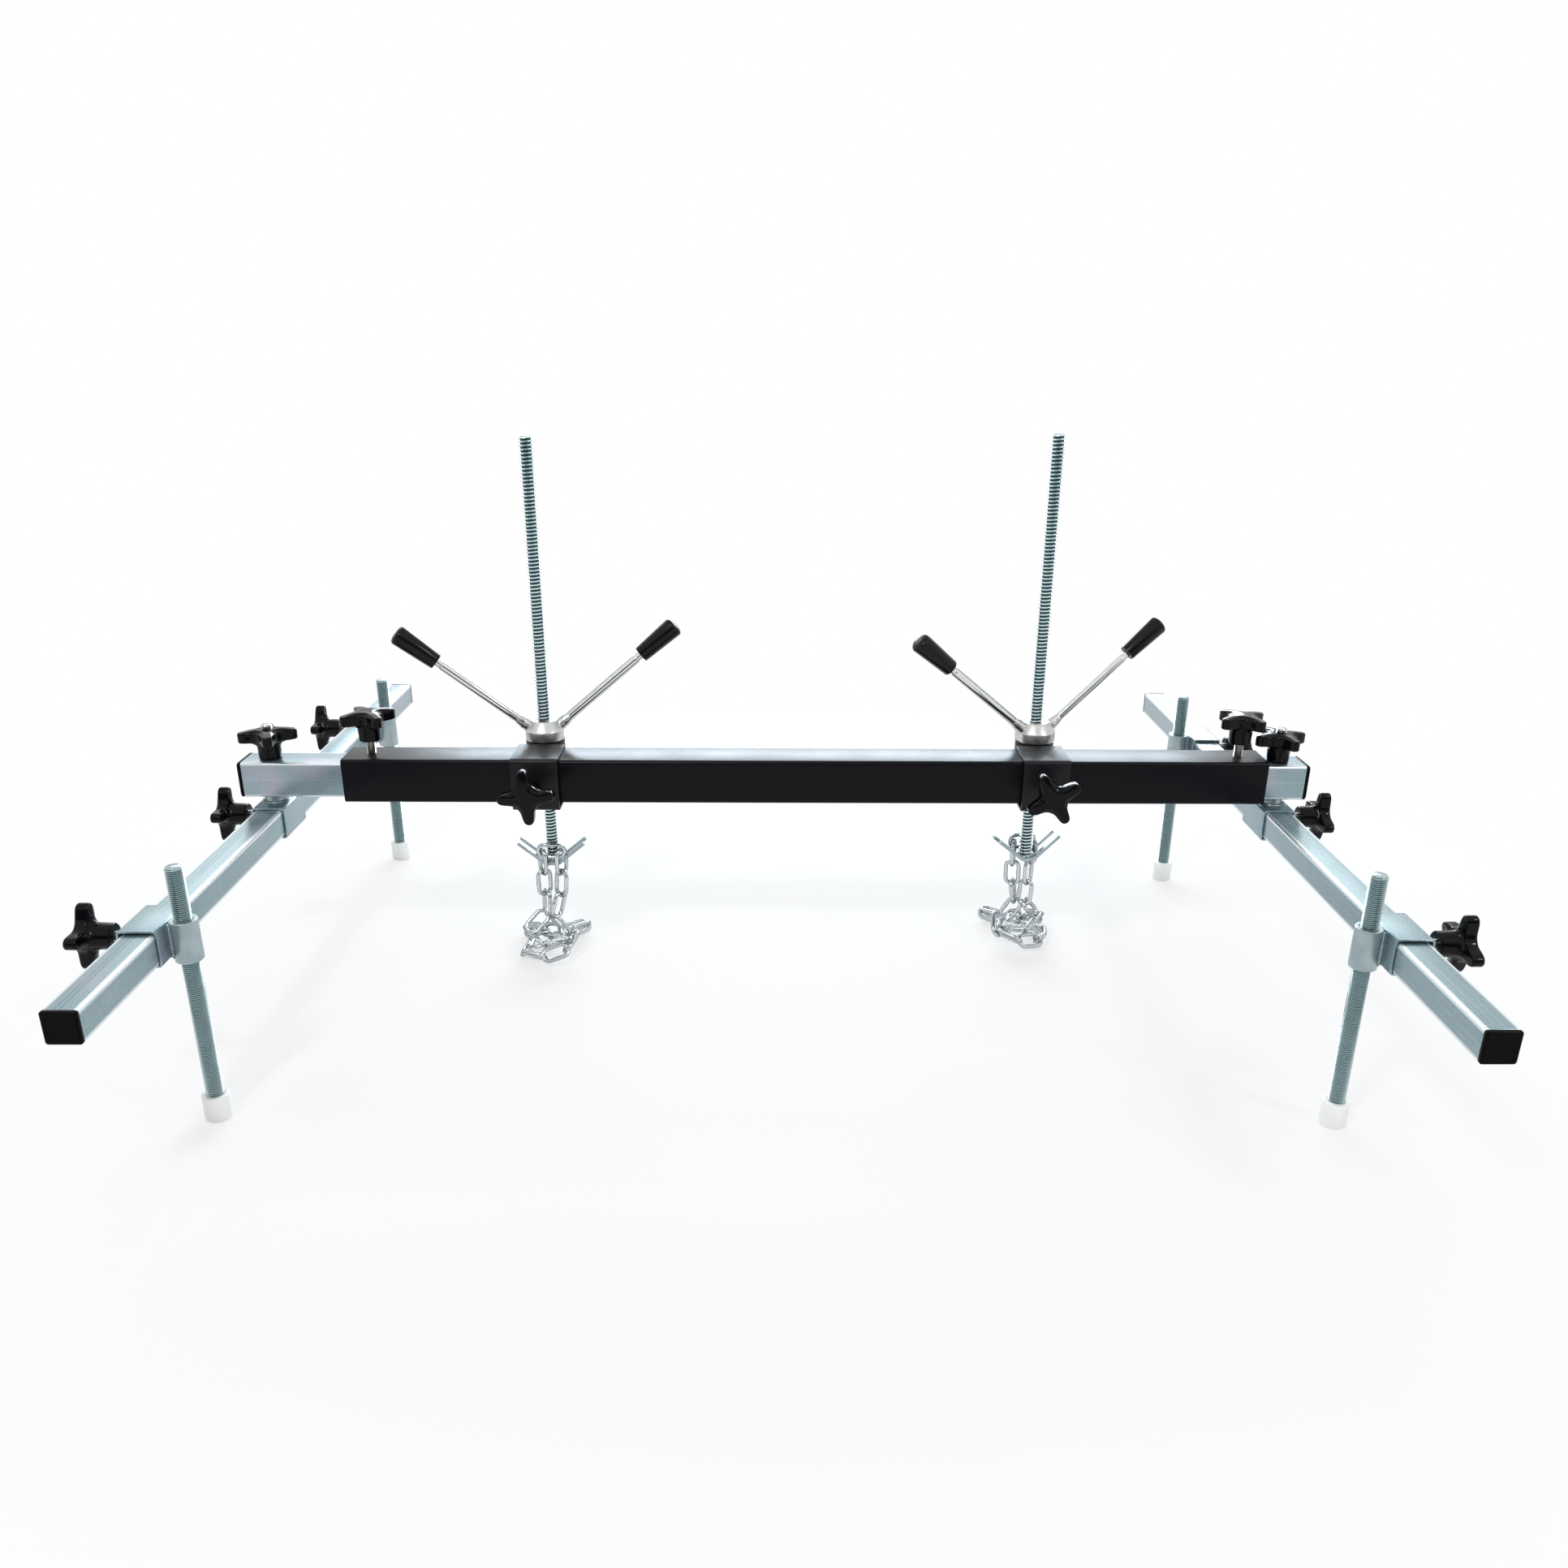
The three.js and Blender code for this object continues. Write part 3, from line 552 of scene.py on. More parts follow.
# Hook, hub, handles and grips
def hook_form(bend_steps=8, arm_steps=6, first_share=0.6):
    """The V-shaped hook plate: a slotted strip bent up at both ends, its lowest face on z = 0."""
    rise = radians(hook.rise)
    thickness = hook.thickness
    radius = hook.bend
    half_bend = radius * rise
    flat = hook.flat - thickness * tan(rise / 2) / 2 - radius * tan(rise / 2)
    arm = (hook.span - hook.flat) / cos(rise) - radius * tan(rise / 2)

    def bent(s, w, t):
        way = 1 if s >= 0 else -1
        run = abs(s)
        if run <= flat:
            return Vector((s, w, thickness / 2 + t))
        angle = min((run - flat) / radius, rise)
        x = flat + (radius - t) * sin(angle)
        z = thickness / 2 + radius - (radius - t) * cos(angle)
        rest = max(run - flat - half_bend, 0)
        return Vector((way * (x + rest * cos(rise)), w, z + rest * sin(rise)))

    stations = {0, flat * first_share, flat, hook_slot.start}
    stations |= {flat + half_bend * k / bend_steps for k in range(1, bend_steps + 1)}
    stations |= {flat + half_bend + arm * k / arm_steps for k in range(1, arm_steps + 1)}
    stations = sorted(stations | {-s for s in stations})
    half_width, half_slot = hook.width / 2, hook_slot.width / 2
    widths = [-half_width, -half_slot, half_slot, half_width]
    mesh = bmesh.new()
    made = {}

    def corner(i, j, t):
        if (i, j, t) not in made:
            made[i, j, t] = mesh.verts.new(bent(stations[i], widths[j], t))
        return made[i, j, t]

    def filled(i, j):
        if not (0 <= i < len(stations) - 1 and 0 <= j < len(widths) - 1):
            return False
        in_slot = min(abs(stations[i]), abs(stations[i + 1])) >= hook_slot.start - 1e-6
        return not (j == 1 and in_slot)

    half = thickness / 2
    cells = [(i, j) for i in range(len(stations) - 1) for j in range(len(widths) - 1) if filled(i, j)]
    for i, j in cells:
        for t, order in ((half, 1), (-half, -1)):
            loop = [corner(i, j, t), corner(i + 1, j, t), corner(i + 1, j + 1, t), corner(i, j + 1, t)]
            mesh.faces.new(loop[::order])
        sides = {
            (i - 1, j): ((i, j + 1), (i, j)),
            (i + 1, j): ((i + 1, j), (i + 1, j + 1)),
            (i, j - 1): ((i, j), (i + 1, j)),
            (i, j + 1): ((i + 1, j + 1), (i, j + 1)),
        }
        for neighbour, (a, b) in sides.items():
            if not filled(*neighbour):
                mesh.faces.new([corner(*a, -half), corner(*b, -half), corner(*b, half), corner(*a, half)])
    sharp = [e for e in mesh.edges if e.calc_face_angle(0) > radians(60)]
    bmesh.ops.bevel(mesh, geom=sharp, offset=hook.edge, segments=3, affect="EDGES", profile=0.5)
    form = [v.co.copy() for v in mesh.verts], [tuple(v.index for v in f.verts) for f in mesh.faces]
    mesh.free()
    return form


def along_handle(form, turn):
    """A form that stands on z = 0 becomes part of a handle, rising outwards from inside the hub's cone."""
    lean = turned(90 - handle.rise, "Y")
    return placed(form, lean, shifted(handle.start, 0, hub.height / 2), turned(turn, "Z"))


def hub_form():
    """The turned nut of a lift: band, cone and spigot, with a flat milled below each handle."""
    spigot = guide.radius - guide.wall - guide.play
    path = [(hub.bore, -hub.spigot), (spigot, -hub.spigot), (spigot, 0), (hub.radius, 0)]
    path += [(hub.radius, hub.band), (hub.top, hub.height), (hub.bore, hub.height)]
    points, faces = lathe(eased(path, hub.edge, closed=True), 144, closed=True)
    for point in points:
        point.x = max(min(point.x, hub.flat), -hub.flat)
    return points, faces


def rod_form(around=32, end_share=0.4):
    """A handle's rod, with a thinner neck that enters the grip."""
    radius, neck, end = handle.radius, handle.neck, handle.reach
    shoulder = end - grip.cover - handle.neck_length
    path = [(radius * end_share, 0), (radius, 0), (radius, shoulder)]
    path += [(neck, shoulder), (neck, end), (neck * end_share, end)]
    return lathe(eased(path, handle.edge), around)


def handle_weld_form(seed, steps=14, around=28):
    """The lump of weld where a handle meets the hub: a tapering collar with a rippled skin."""
    thin, thick, length = handle.radius, handle_weld.radius, handle_weld.length
    lumps = handle_weld_lumps
    rings = []
    for k in range(steps + 1):
        share = k / steps
        radius = thin + (thick - thin) * cos(share * pi / 2) ** handle_weld.roundness
        rings.append(circle(max(radius, thin - handle_weld.thinning * share), length * share, around))
    points, faces = loft(rings)
    for point in points:
        lump = noise.noise(point * lumps.scale + Vector((seed, 0, 0)))
        out = Vector((point.x, point.y, 0)).normalized()
        point += out * lump * lumps.size * (1 - lumps.calming * point.z / length)
    return points, faces


def grip_form(around=40, dome_steps=9):
    """A moulded grip standing on its mouth, wider towards its domed tip."""
    shoulder = grip.length - grip.dome
    dome = [Vector((grip.tip, shoulder))]
    for sine, cosine in quarter(dome_steps, 1):
        radius = max(grip.tip * max(cosine, 0) ** dome_power, core)
        dome.append(Vector((radius, shoulder + grip.dome * sine)))
    mouth = eased([(grip.hole, 0), (grip.mouth, 0), (grip.tip, shoulder)], grip.rim)
    bore = [(core, grip.cover), (grip.hole, grip.cover), (grip.hole, 0)]
    return lathe(bore + mouth[1:-1] + dome, around)


def pad_form():
    """A foot's pad standing on z = 0, with a socket for the screw."""
    wall, height = foot_pad.radius, foot_pad.height
    floor = height - foot_pad.socket_depth
    socket = [Vector((core, floor)), Vector((foot_pad.socket, floor))]
    lip = eased([(foot_pad.socket, height), (wall, height), (wall, height / 2)], foot_pad.lip)
    edge = eased([(wall, height / 2), (wall, 0), (core, 0)], foot_pad.edge)
    return lathe(socket + lip[:-1] + edge[1:], around=56)


def bead(line, seed, closed=False, radius=bead_radius):
    """A weld bead along a line of points, with the ripples that the torch leaves."""
    count = len(line)
    rings = []
    run = 0
    for i, point in enumerate(line):
        before = line[i - 1] if closed or i else point
        after = line[(i + 1) % count] if closed or i + 1 < count else point
        along = (after - before).normalized()
        side = along.cross(UP if abs(along.z) < 0.9 else Vector((1, 0, 0))).normalized()
        other = along.cross(side)
        run += (point - before).length
        wobble = noise.noise(point * ripple.wobble_scale + Vector((0, 0, seed)))
        swell = 1 + ripple.height * cos(tau * run / ripple.pitch) + ripple.wobble * wobble
        from_end = min(i, count - 1 - i)
        thin = 1 if closed else min(1, taper.tip + (1 - taper.tip) * from_end / taper.points)
        ring = []
        for s in range(bead_sides):
            angle = tau * s / bead_sides
            ring.append(point + (side * cos(angle) + other * sin(angle)) * radius * swell * thin)
        rings.append(ring)
    return loft(rings, closed)


def straight_line(start, end, step=0.7):
    start, end = Vector(start), Vector(end)
    count = max(int((end - start).length / step), 4)
    return [start.lerp(end, i / count) for i in range(count + 1)]


# Finishes
class Nodes:
    """A node tree to write in. A value is a constant or a node's output, and a colour has three numbers."""

    def __init__(self, tree):
        self.tree = tree

    def feed(self, socket, value):
        if isinstance(value, bpy.types.NodeSocket):
            self.tree.links.new(value, socket)
        elif socket.type == "RGBA":
            socket.default_value = (*value, 1)
        else:
            socket.default_value = value

    def fill(self, node, values):
        for name, value in values.items():
            self.feed(node.inputs[name.replace("_", " ")], value)

    def add(self, kind, settings=(), **values):
        node = self.tree.nodes.new(f"ShaderNode{kind}")
        for name, setting in dict(settings).items():
            setattr(node, name, setting)
        self.fill(node, values)
        return node

    def math(self, operation, first, second=0):
        node = self.add("Math", {"operation": operation})
        self.feed(node.inputs[0], first)
        self.feed(node.inputs[1], second)
        return node.outputs["Value"]

    def plus(self, first, second):
        return self.math("ADD", first, second)

    def times(self, first, second):
        return self.math("MULTIPLY", first, second)

    def between(self, value, *limits):
        """A value's share of the way between two limits, or what that share is between two more."""
        node = self.add("MapRange", Value=value)
        for name, limit in zip(("From Min", "From Max", "To Min", "To Max"), limits):
            node.inputs[name].default_value = limit
        return node.outputs["Result"]

    def seen_directly(self):
        """One for rays from the camera, and for those that mirror or pass through a surface."""
        path = self.add("LightPath").outputs
        seen = self.math("MAXIMUM", path["Is Camera Ray"], path["Is Glossy Ray"])
        return self.math("MAXIMUM", seen, path["Is Transmission Ray"])


class Shading(Nodes):
    """A material's nodes, from its texture coordinates to its surface."""

    def __init__(self, name):
        self.material = bpy.data.materials.new(name)
        self.material.use_nodes = True
        super().__init__(self.material.node_tree)
        self.surface = self.tree.nodes["Principled BSDF"]
        self.place = self.add("TexCoord").outputs["Object"]

    def set(self, **values):
        self.fill(self.surface, values)
        return self.material

    def noise(self, scale, detail=3, stretch=(1, 1, 1), roughness=0.5):
        place = self.add("Mapping", Vector=self.place, Scale=stretch).outputs["Vector"]
        node = self.add("TexNoise", Vector=place, Scale=scale, Detail=detail, Roughness=roughness)
        return node.outputs["Fac"]

    def mixed(self, share, first, second):
        return self.add("Mix", {"data_type": "RGBA"}, Factor=share, A=first, B=second).outputs["Result"]

    def rim_shaded(self, base, tone):
        """The base colour, with a painted shade of another tone where the surface turns away from the eye."""
        facing = self.add("LayerWeight").outputs["Facing"]
        return self.mixed(self.between(facing, 0.25, 0.7), base, tone)

    def bump(self, height, distance, strength):
        node = self.add("Bump", Height=height, Distance=distance, Strength=strength)
        self.set(Normal=node.outputs["Normal"])

    def axis(self, index):
        return self.add("SeparateXYZ", Vector=self.place).outputs[index]

    def away_from(self, place, coordinate):
        return self.math("ABSOLUTE", self.math("SUBTRACT", coordinate, place * MM))

    def seam_line(self, index, place, half_width=0.55):
        """One where a coordinate is close to the given place, nought elsewhere."""
        return self.between(self.away_from(place, self.axis(index)), half_width * MM, 0)

    def corner_highlight_band(self, size, centres, start=4.6, end=2.6):
        """One on the rounded corners of a square tube and its mirror image, nought on their flats: the mask
        for a painted highlight.
        """
        total = 0
        for index, centre in centres.items():
            across = self.math("ABSOLUTE", self.axis(index))
            total = self.plus(total, self.away_from(centre, across))
        return self.between(total, (size.side - start) * MM, (size.side - end) * MM)


def powder_coat(name, roughness, specular, pebble_strength):
    """Satin black powder coat: a fine pebbled skin, with faint rubbing along the beam."""
    s = Shading(name)
    pebbles = s.noise(1300, 2)
    cloud = s.noise(14)
    rubbed = s.between(s.noise(30, 4, (0.06, 6, 6)), 0.62, 0.8)
    base = s.mixed(cloud, (0.002, 0.002, 0.0034), (0.004, 0.004, 0.006))
    base = s.mixed(s.times(rubbed, 0.3), base, (0.010, 0.010, 0.013))
    rough = s.between(s.plus(cloud, s.times(pebbles, 0.4)), 0.3, 1.1, *roughness)
    s.bump(pebbles, 0.00018, pebble_strength)
    return s.set(Base_Color=base, Roughness=rough, Specular_IOR_Level=specular)


def zinc_tube(name, axis, seams=(), corners=None, blush=(0.40, 0.40, 0.47)):
    """Blue-passivated zinc on drawn tube: mottled and streaked, with its weld's lines, and with a painted
    highlight on its rounded corners where these are given.
    """
    s = Shading(name)
    stretch = [7, 7, 7]
    stretch["xyz".index(axis)] = 0.16
    streaks = s.noise(42, 5, stretch, 0.6)
    fine = s.noise(150, 3, [v * 1.6 for v in stretch])
    clouds = s.noise(11, 4)
    tint = s.noise(15)
    mottle = s.noise(420, 3, (1, 1, 1), 0.6)
    base = s.mixed(s.between(mottle, 0.3, 0.7), (0.235, 0.325, 0.36), (0.315, 0.405, 0.44))
    for value, start, end, share, tone in (
        (streaks, 0.45, 0.75, 0.6, (0.37, 0.46, 0.49)),
        (streaks, 0.38, 0.22, 0.4, (0.19, 0.27, 0.31)),
        (clouds, 0.45, 0.75, 0.5, (0.235, 0.32, 0.375)),
        (tint, 0.54, 0.7, 0.55, blush),
        (tint, 0.44, 0.3, 0.5, (0.235, 0.36, 0.345)),
    ):
        base = s.mixed(s.between(value, start, end, 0, share), base, tone)
    height = s.plus(s.times(fine, 0.5), s.times(mottle, 0.3))
    for index, place, tone in seams:
        line = s.seam_line(index, place)
        base = s.mixed(s.times(line, 0.7), base, tone)
        height = s.plus(height, s.times(line, -2))
    # Painted highlight: a near-white tone on the rounded corners, standing in for a lamp's glint there.
    if corners:
        base = s.mixed(s.times(s.corner_highlight_band(*corners), 0.85), base, (0.86, 0.91, 0.93))
    s.bump(height, 0.00004, 0.2)
    rough = s.between(s.plus(streaks, mottle), 0.7, 1.3, 0.24, 0.38)
    return s.set(Base_Color=base, Metallic=0.85, Roughness=rough)


def plated(name, light, dark, roughness, metallic=0.85, hollow=None, rim=None):
    """Plated small parts: clouds of tone, a fine grain, and, where tones are given, painted shade in the
    hollows and painted shade on the rims.
    """
    s = Shading(name)
    clouds = s.noise(60, 4)
    grain = s.noise(900, 2)
    base = s.mixed(s.between(clouds, 0.3, 0.7), dark, light)
    # Painted shade: a darker tone in the hollows, such as the roots of a thread, where shade falls.
    if hollow:
        depth = s.between(s.add("NewGeometry").outputs["Pointiness"], 0.51, 0.46)
        base = s.mixed(depth, base, hollow)
    # Painted shade: another tone on the rims that turn away from the eye, standing in for darker reflections
    # there.
    if rim:
        base = s.rim_shaded(base, rim)
    rough = s.between(s.plus(clouds, grain), 0.6, 1.4, roughness * 0.75, roughness * 1.3)
    s.bump(grain, 0.00005, 0.5)
    return s.set(Base_Color=base, Metallic=metallic, Roughness=rough)


def turned_steel(name, stretch, light, dark, roughness, rim=None):
    """Bright steel with the fine lines that the tool or the polishing belt leaves."""
    s = Shading(name)
    lines = s.noise(160, 4, stretch)
    clouds = s.noise(45)
    base = s.mixed(lines, dark, light)
    base = s.mixed(s.between(clouds, 0.55, 0.8, 0, 0.4), base, dark)
    # Painted shade: another tone on the rims that turn away from the eye, standing in for darker reflections
    # there.
    if rim:
        base = s.rim_shaded(base, rim)
    rough = s.between(s.plus(lines, clouds), 0.6, 1.4, roughness * 0.7, roughness * 1.4)
    s.bump(lines, 0.00006, 0.6)
    return s.set(Base_Color=base, Metallic=1, Roughness=rough)


def moulded(name, dark, light, roughness, grain_scale, specular):
    """Moulded plastic: a faint flow pattern, fine grain and handling marks."""
    s = Shading(name)
    flow = s.noise(35)
    grain = s.noise(grain_scale, 2)
    marks = s.between(s.noise(220, 5, (1, 1, 1), 0.7), 0.62, 0.78)
    base = s.mixed(flow, dark, light)
    base = s.mixed(s.times(marks, 0.25), base, [v * 3 for v in light])
    rough = s.between(s.plus(flow, s.times(marks, 0.5)), 0.3, 1, roughness * 0.75, roughness * 1.6)
    s.bump(grain, 0.00004, 0.5)
    return s.set(Base_Color=base, Roughness=rough, Specular_IOR_Level=specular)


def milky_nylon():
    """Natural nylon: milky, a little see-through, with scuffs where the pad stands."""
    s = Shading("milky_nylon")
    flow = s.noise(60)
    scuffs = s.between(s.noise(420, 4, (1, 1, 3)), 0.6, 0.75)
    base = s.mixed(flow, (0.90, 0.90, 0.88), (0.96, 0.96, 0.95))
    base = s.mixed(s.times(scuffs, 0.3), base, (0.70, 0.70, 0.66))
    rough = s.between(s.plus(flow, scuffs), 0.4, 1.3, 0.3, 0.5)
    s.bump(scuffs, 0.00006, 0.4)
    s.set(Subsurface_Weight=0.35, Subsurface_Radius=(1, 0.95, 0.85), Subsurface_Scale=0.003)
    return s.set(Base_Color=base, Roughness=rough)


# A seam is an axis, a place on it and a tone. A tube's painted corner highlight takes its size and where its
# middle lies.
dark_seam = (0.08, 0.12, 0.14)
light_seam = (0.46, 0.54, 0.58)
rail_seams = [(0, middle("left_rail").x - offset, dark_seam) for offset in (4.2, 0.4)]
extension_seams = [(2, middle("left_extension").z + 0.6, light_seam)]
rail_corner_highlight = (rail, {0: middle("right_rail").x, 2: middle("right_rail").z})
extension_corner_highlight = (extension, {1: middle("right_extension").y, 2: middle("right_extension").z})

# Each slot of the frame, with the finishes that fill it
SLOTS = {
    "black_powder_coat": {
        "powder": powder_coat("powder_coat", (0.24, 0.38), 0.12, 0.3),
        "coat": powder_coat("sleeve_powder_coat", (0.34, 0.46), 0.28, 0.6),
    },
    "zinc_steel": {
        # The tube finishes of the extensions and rails lay a painted highlight on their rounded corners.
        "tube_x": zinc_tube("zinc_tube_x", "x", extension_seams, extension_corner_highlight, (0.50, 0.42, 0.52)),
        "tube_y": zinc_tube("zinc_tube_y", "y", rail_seams, rail_corner_highlight),
        "sleeve": zinc_tube("zinc_sleeve", "y"),
        "boss": plated("zinc_boss", (0.42, 0.50, 0.52), (0.30, 0.38, 0.40), 0.34),
        # The last tone of each screw is painted shade in its thread roots.
        "screw": plated("zinc_screw", (0.78, 0.86, 0.87), (0.68, 0.77, 0.79), 0.26, 0.9, (0.02, 0.08, 0.09)),
        "foot_screw": plated(
            "zinc_foot_screw", (0.44, 0.54, 0.55), (0.38, 0.47, 0.49), 0.26, 0.9, (0.04, 0.12, 0.13)
        ),
        # The link's last tone is painted shade on its rims.
        "link": plated("zinc_link", (0.7, 0.73, 0.74), (0.5, 0.54, 0.56), 0.18, 0.95, rim=(0.14, 0.17, 0.18)),
        "weld": plated("zinc_weld", (0.42, 0.49, 0.51), (0.22, 0.28, 0.30), 0.34),
    },
    "bright_steel": {
        "nut": turned_steel("turned_nut", (1, 1, 9), (0.66, 0.66, 0.64), (0.50, 0.51, 0.50), 0.3),
        # The rod's last tone is painted shade on its rims.
        "rod": turned_steel(
            "polished_rod", (1, 1, 1), (0.80, 0.81, 0.80), (0.66, 0.67, 0.67), 0.1, (0.16, 0.18, 0.17)
        ),
        # The stud's last tone is painted shade in its thread roots.
        "stud": plated("bright_stud", (0.68, 0.66, 0.61), (0.50, 0.49, 0.46), 0.2, 1, (0.16, 0.16, 0.15)),
    },
    "black_plastic": {
        "knob": moulded("gloss_black", (0.0015, 0.0015, 0.002), (0.003, 0.003, 0.0036), 0.12, 700, 0.14),
        "grip": moulded("grip_black", (0.0025, 0.0025, 0.003), (0.005, 0.005, 0.006), 0.19, 500, 0.2),
    },
    "cap_plastic": {
        "cap": moulded("cap_black", (0.0018, 0.0018, 0.0018), (0.003, 0.003, 0.003), 0.36, 900, 0.05)
    },
    "white_nylon": {"pad": milky_nylon()},
}
FINISHES = {name: (slot, made) for slot, finishes in SLOTS.items() for name, made in finishes.items()}


# Pieces
def new_object(name, data):
    made = bpy.data.objects.new(name, data)
    bpy.context.scene.collection.objects.link(made)
    return made


def dress(name, form, finish, node, *places, angle=form_angle):
    """Makes a piece from a form in its place, gives it its finish, and lets it stand for a node."""
    points, faces = placed(form, *places)
    data = bpy.data.meshes.new(name)
    data.from_pydata([p * MM for p in points], [], faces)
    mesh = bmesh.new()
    mesh.from_mesh(data)
    bmesh.ops.remove_doubles(mesh, verts=mesh.verts, dist=1e-7)
    bmesh.ops.dissolve_degenerate(mesh, dist=1e-8, edges=mesh.edges)
    open_edges = [e for e in mesh.edges if e.is_boundary]
    if open_edges:
        bmesh.ops.holes_fill(mesh, edges=open_edges)
    bmesh.ops.recalc_face_normals(mesh, faces=mesh.faces)
    mesh.to_mesh(data)
    mesh.free()
    data.polygons.foreach_set("use_smooth", [True] * len(data.polygons))
    data.set_sharp_from_angle(angle=radians(angle))
    piece = new_object(name, data)
    slot, material = FINISHES[finish]
    data.materials.append(material)
    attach(piece, nodes[node]["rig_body"])
    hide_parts(node)


def add_beam():
    dress("main_beam_tube", tube_between("main_beam", beam, "x"), "powder", "main_beam")


def add_extension(side, out):
    node = f"{side}_extension"
    at = middle(node)
    dress(f"{node}_tube", tube_between(node, extension, "x"), "tube_x", node)
    cap = end_cap(extension, Vector((out, 0, 0)))
    dress(f"{node}_end_cap", cap, "cap", f"{node}_cap", shifted(end_of(node, 0, out), at.y, at.z))
    add_lock(f"{side}_extension_lock", knob_turns[side]["extension"])


def add_lock(lock, turn):
    """A locking screw and its knob, placed by the boxes of their nodes."""
    pose = lock_pose(lock)
    out = (pose @ Vector((0, 0, 1, 0))).to_3d()
    index = max(range(3), key=lambda i: abs(out[i]))
    knob_node, stud_node = f"{lock}_knob", f"{lock}_stud"

    def start_of(node):
        place = middle(stud_node)
        place[index] = end_of(node, index, -out[index])
        return Matrix.Translation(place)

    screw = thread(stud, (high(stud_node) - low(stud_node))[index], around=20)
    dress(f"{lock}_screw", screw, "stud", stud_node, pose, start_of(stud_node), angle=thread_angle)
    turn = turned(turn, "Z")
    dress(f"{lock}_grip", knob_form(), "knob", knob_node, turn, pose, start_of(knob_node))


def add_seams(name, places, bottom, top, radius, seed, finish, node):
    """Upright weld beads at the given places, from the bottom height to the top one."""
    for number, (x, y) in enumerate(places):
        seam = bead(straight_line((x, y, bottom), (x, y, top)), seed + number, radius=radius)
        dress(f"{name}_{number + 1}", seam, finish, node, angle=weld_angle)


def add_swivel(side):
    node = f"{side}_swivel_sleeve"
    at = middle(node)
    bottom = low(node).z
    top = bottom + rail_sleeve.side
    tube = square_tube(rail_sleeve, high(node).y - low(node).y, "y")
    dress(f"{node}_tube", tube, "sleeve", node, shifted(at.x, at.y, bottom + rail_sleeve.side / 2))
    on_sleeve = shifted(at.x, at.y, top)
    path = [(collar.core, -collar.sunk), (collar.foot, -collar.sunk)]
    path += [(collar.top, collar.height), (collar.core, collar.height)]
    dress(f"{node}_collar", lathe(eased(path, collar.edge)), "boss", node, on_sleeve)
    bolt = thread(swivel_bolt, high(node).z - top)
    dress(f"{node}_bolt", bolt, "stud", node, on_sleeve, angle=thread_angle)
    ring = circle(collar.foot + collar_weld.out, collar_weld.rise, collar_weld.points)
    dress(f"{node}_weld", bead(ring, 1, closed=True), "weld", node, on_sleeve, angle=weld_angle)
    nut = knob_form(swivel_bolt.radius + swivel_bolt.knob_play)
    nut_node = f"{side}_swivel_knob"
    turn = turned(knob_turns[side]["swivel"], "Z")
    dress(f"{side}_swivel_nut_knob", nut, "knob", nut_node, turn, shifted(at.x, at.y, low(nut_node).z))


def add_rail(side):
    node = f"{side}_rail"
    at = middle(node)
    dress(f"{node}_tube", tube_between(node, rail, "y"), "tube_y", node)
    for where, way in {"front": -1, "rear": 1}.items():
        cap = end_cap(rail, Vector((0, way, 0)))
        end = shifted(at.x, end_of(node, 1, way), at.z)
        dress(f"{side}_{where}_rail_end_cap", cap, "cap", f"{side}_{where}_rail_cap", end)
    add_lock(f"{side}_rail_lock", knob_turns[side]["rail"])


def add_foot(side, where, out):
    name = f"{side}_{where}_foot"
    node, screw_node = f"{name}_sleeve", f"{name}_screw"
    at = middle(screw_node)
    bottom, top = low(node).z, high(node).z
    half = rail_sleeve.side / 2
    sleeve_x = end_of(node, 0, out) - out * half
    tube = square_tube(rail_sleeve, high(node).y - low(node).y, "y")
    dress(f"{name}_sleeve_tube", tube, "sleeve", node, shifted(sleeve_x, at.y, top - half))
    boss_top = top - foot_boss.drop
    boss = pipe(foot_boss.hole, foot_boss.radius, 0, boss_top - bottom, foot_boss.edge, around=56)
    dress(f"{name}_boss", boss, "boss", node, shifted(at.x, at.y, bottom))
    weld_x = sleeve_x - out * half - out * foot_weld.sunk
    places = [(weld_x, at.y + way * foot_boss.radius * foot_weld.share) for way in (-1, 1)]
    ends = bottom + foot_weld.foot, boss_top - foot_weld.top
    add_seams(f"{name}_weld", places, *ends, foot_weld.radius, 0, "weld", node)
    screw_foot = low(screw_node).z
    screw = thread(foot_screw, high(screw_node).z - screw_foot)
    at_foot = shifted(at.x, at.y, screw_foot)
    dress(f"{name}_threaded_rod", screw, "foot_screw", screw_node, at_foot, angle=thread_angle)
    dress(f"{name}_nylon_pad", pad_form(), "pad", f"{name}_pad", shifted(at.x, at.y))
    add_lock(f"{name}_lock", knob_turns[side]["rail"])


def add_lift_sleeve(side):
    node = f"{side}_lift_sleeve"
    at = middle(node)
    half = lift_sleeve.side / 2
    sleeve_y = low(node).y + half
    tube = square_tube(lift_sleeve, high(node).x - low(node).x, "x")
    dress(f"{node}_tube", tube, "coat", node, shifted(at.x, sleeve_y, at.z))
    inner, outer = guide.radius - guide.wall, guide.radius
    on_screw = shifted(at.x, middle(f"{side}_lift_screw").y, at.z)
    tube = pipe(inner, outer, -half, half, guide.edge, around=72)
    dress(f"{side}_guide_tube", tube, "coat", node, on_screw)
    weld_y = sleeve_y + half + guide_weld.out
    places = [(at.x + way * outer * guide_weld.share, weld_y) for way in (-1, 1)]
    ends = at.z - half + guide_weld.end, at.z + half - guide_weld.end
    add_seams(f"{side}_guide_weld", places, *ends, guide_weld.radius, 3, "coat", node)
    add_lock(f"{side}_lift_lock", knob_turns[side]["lift"])


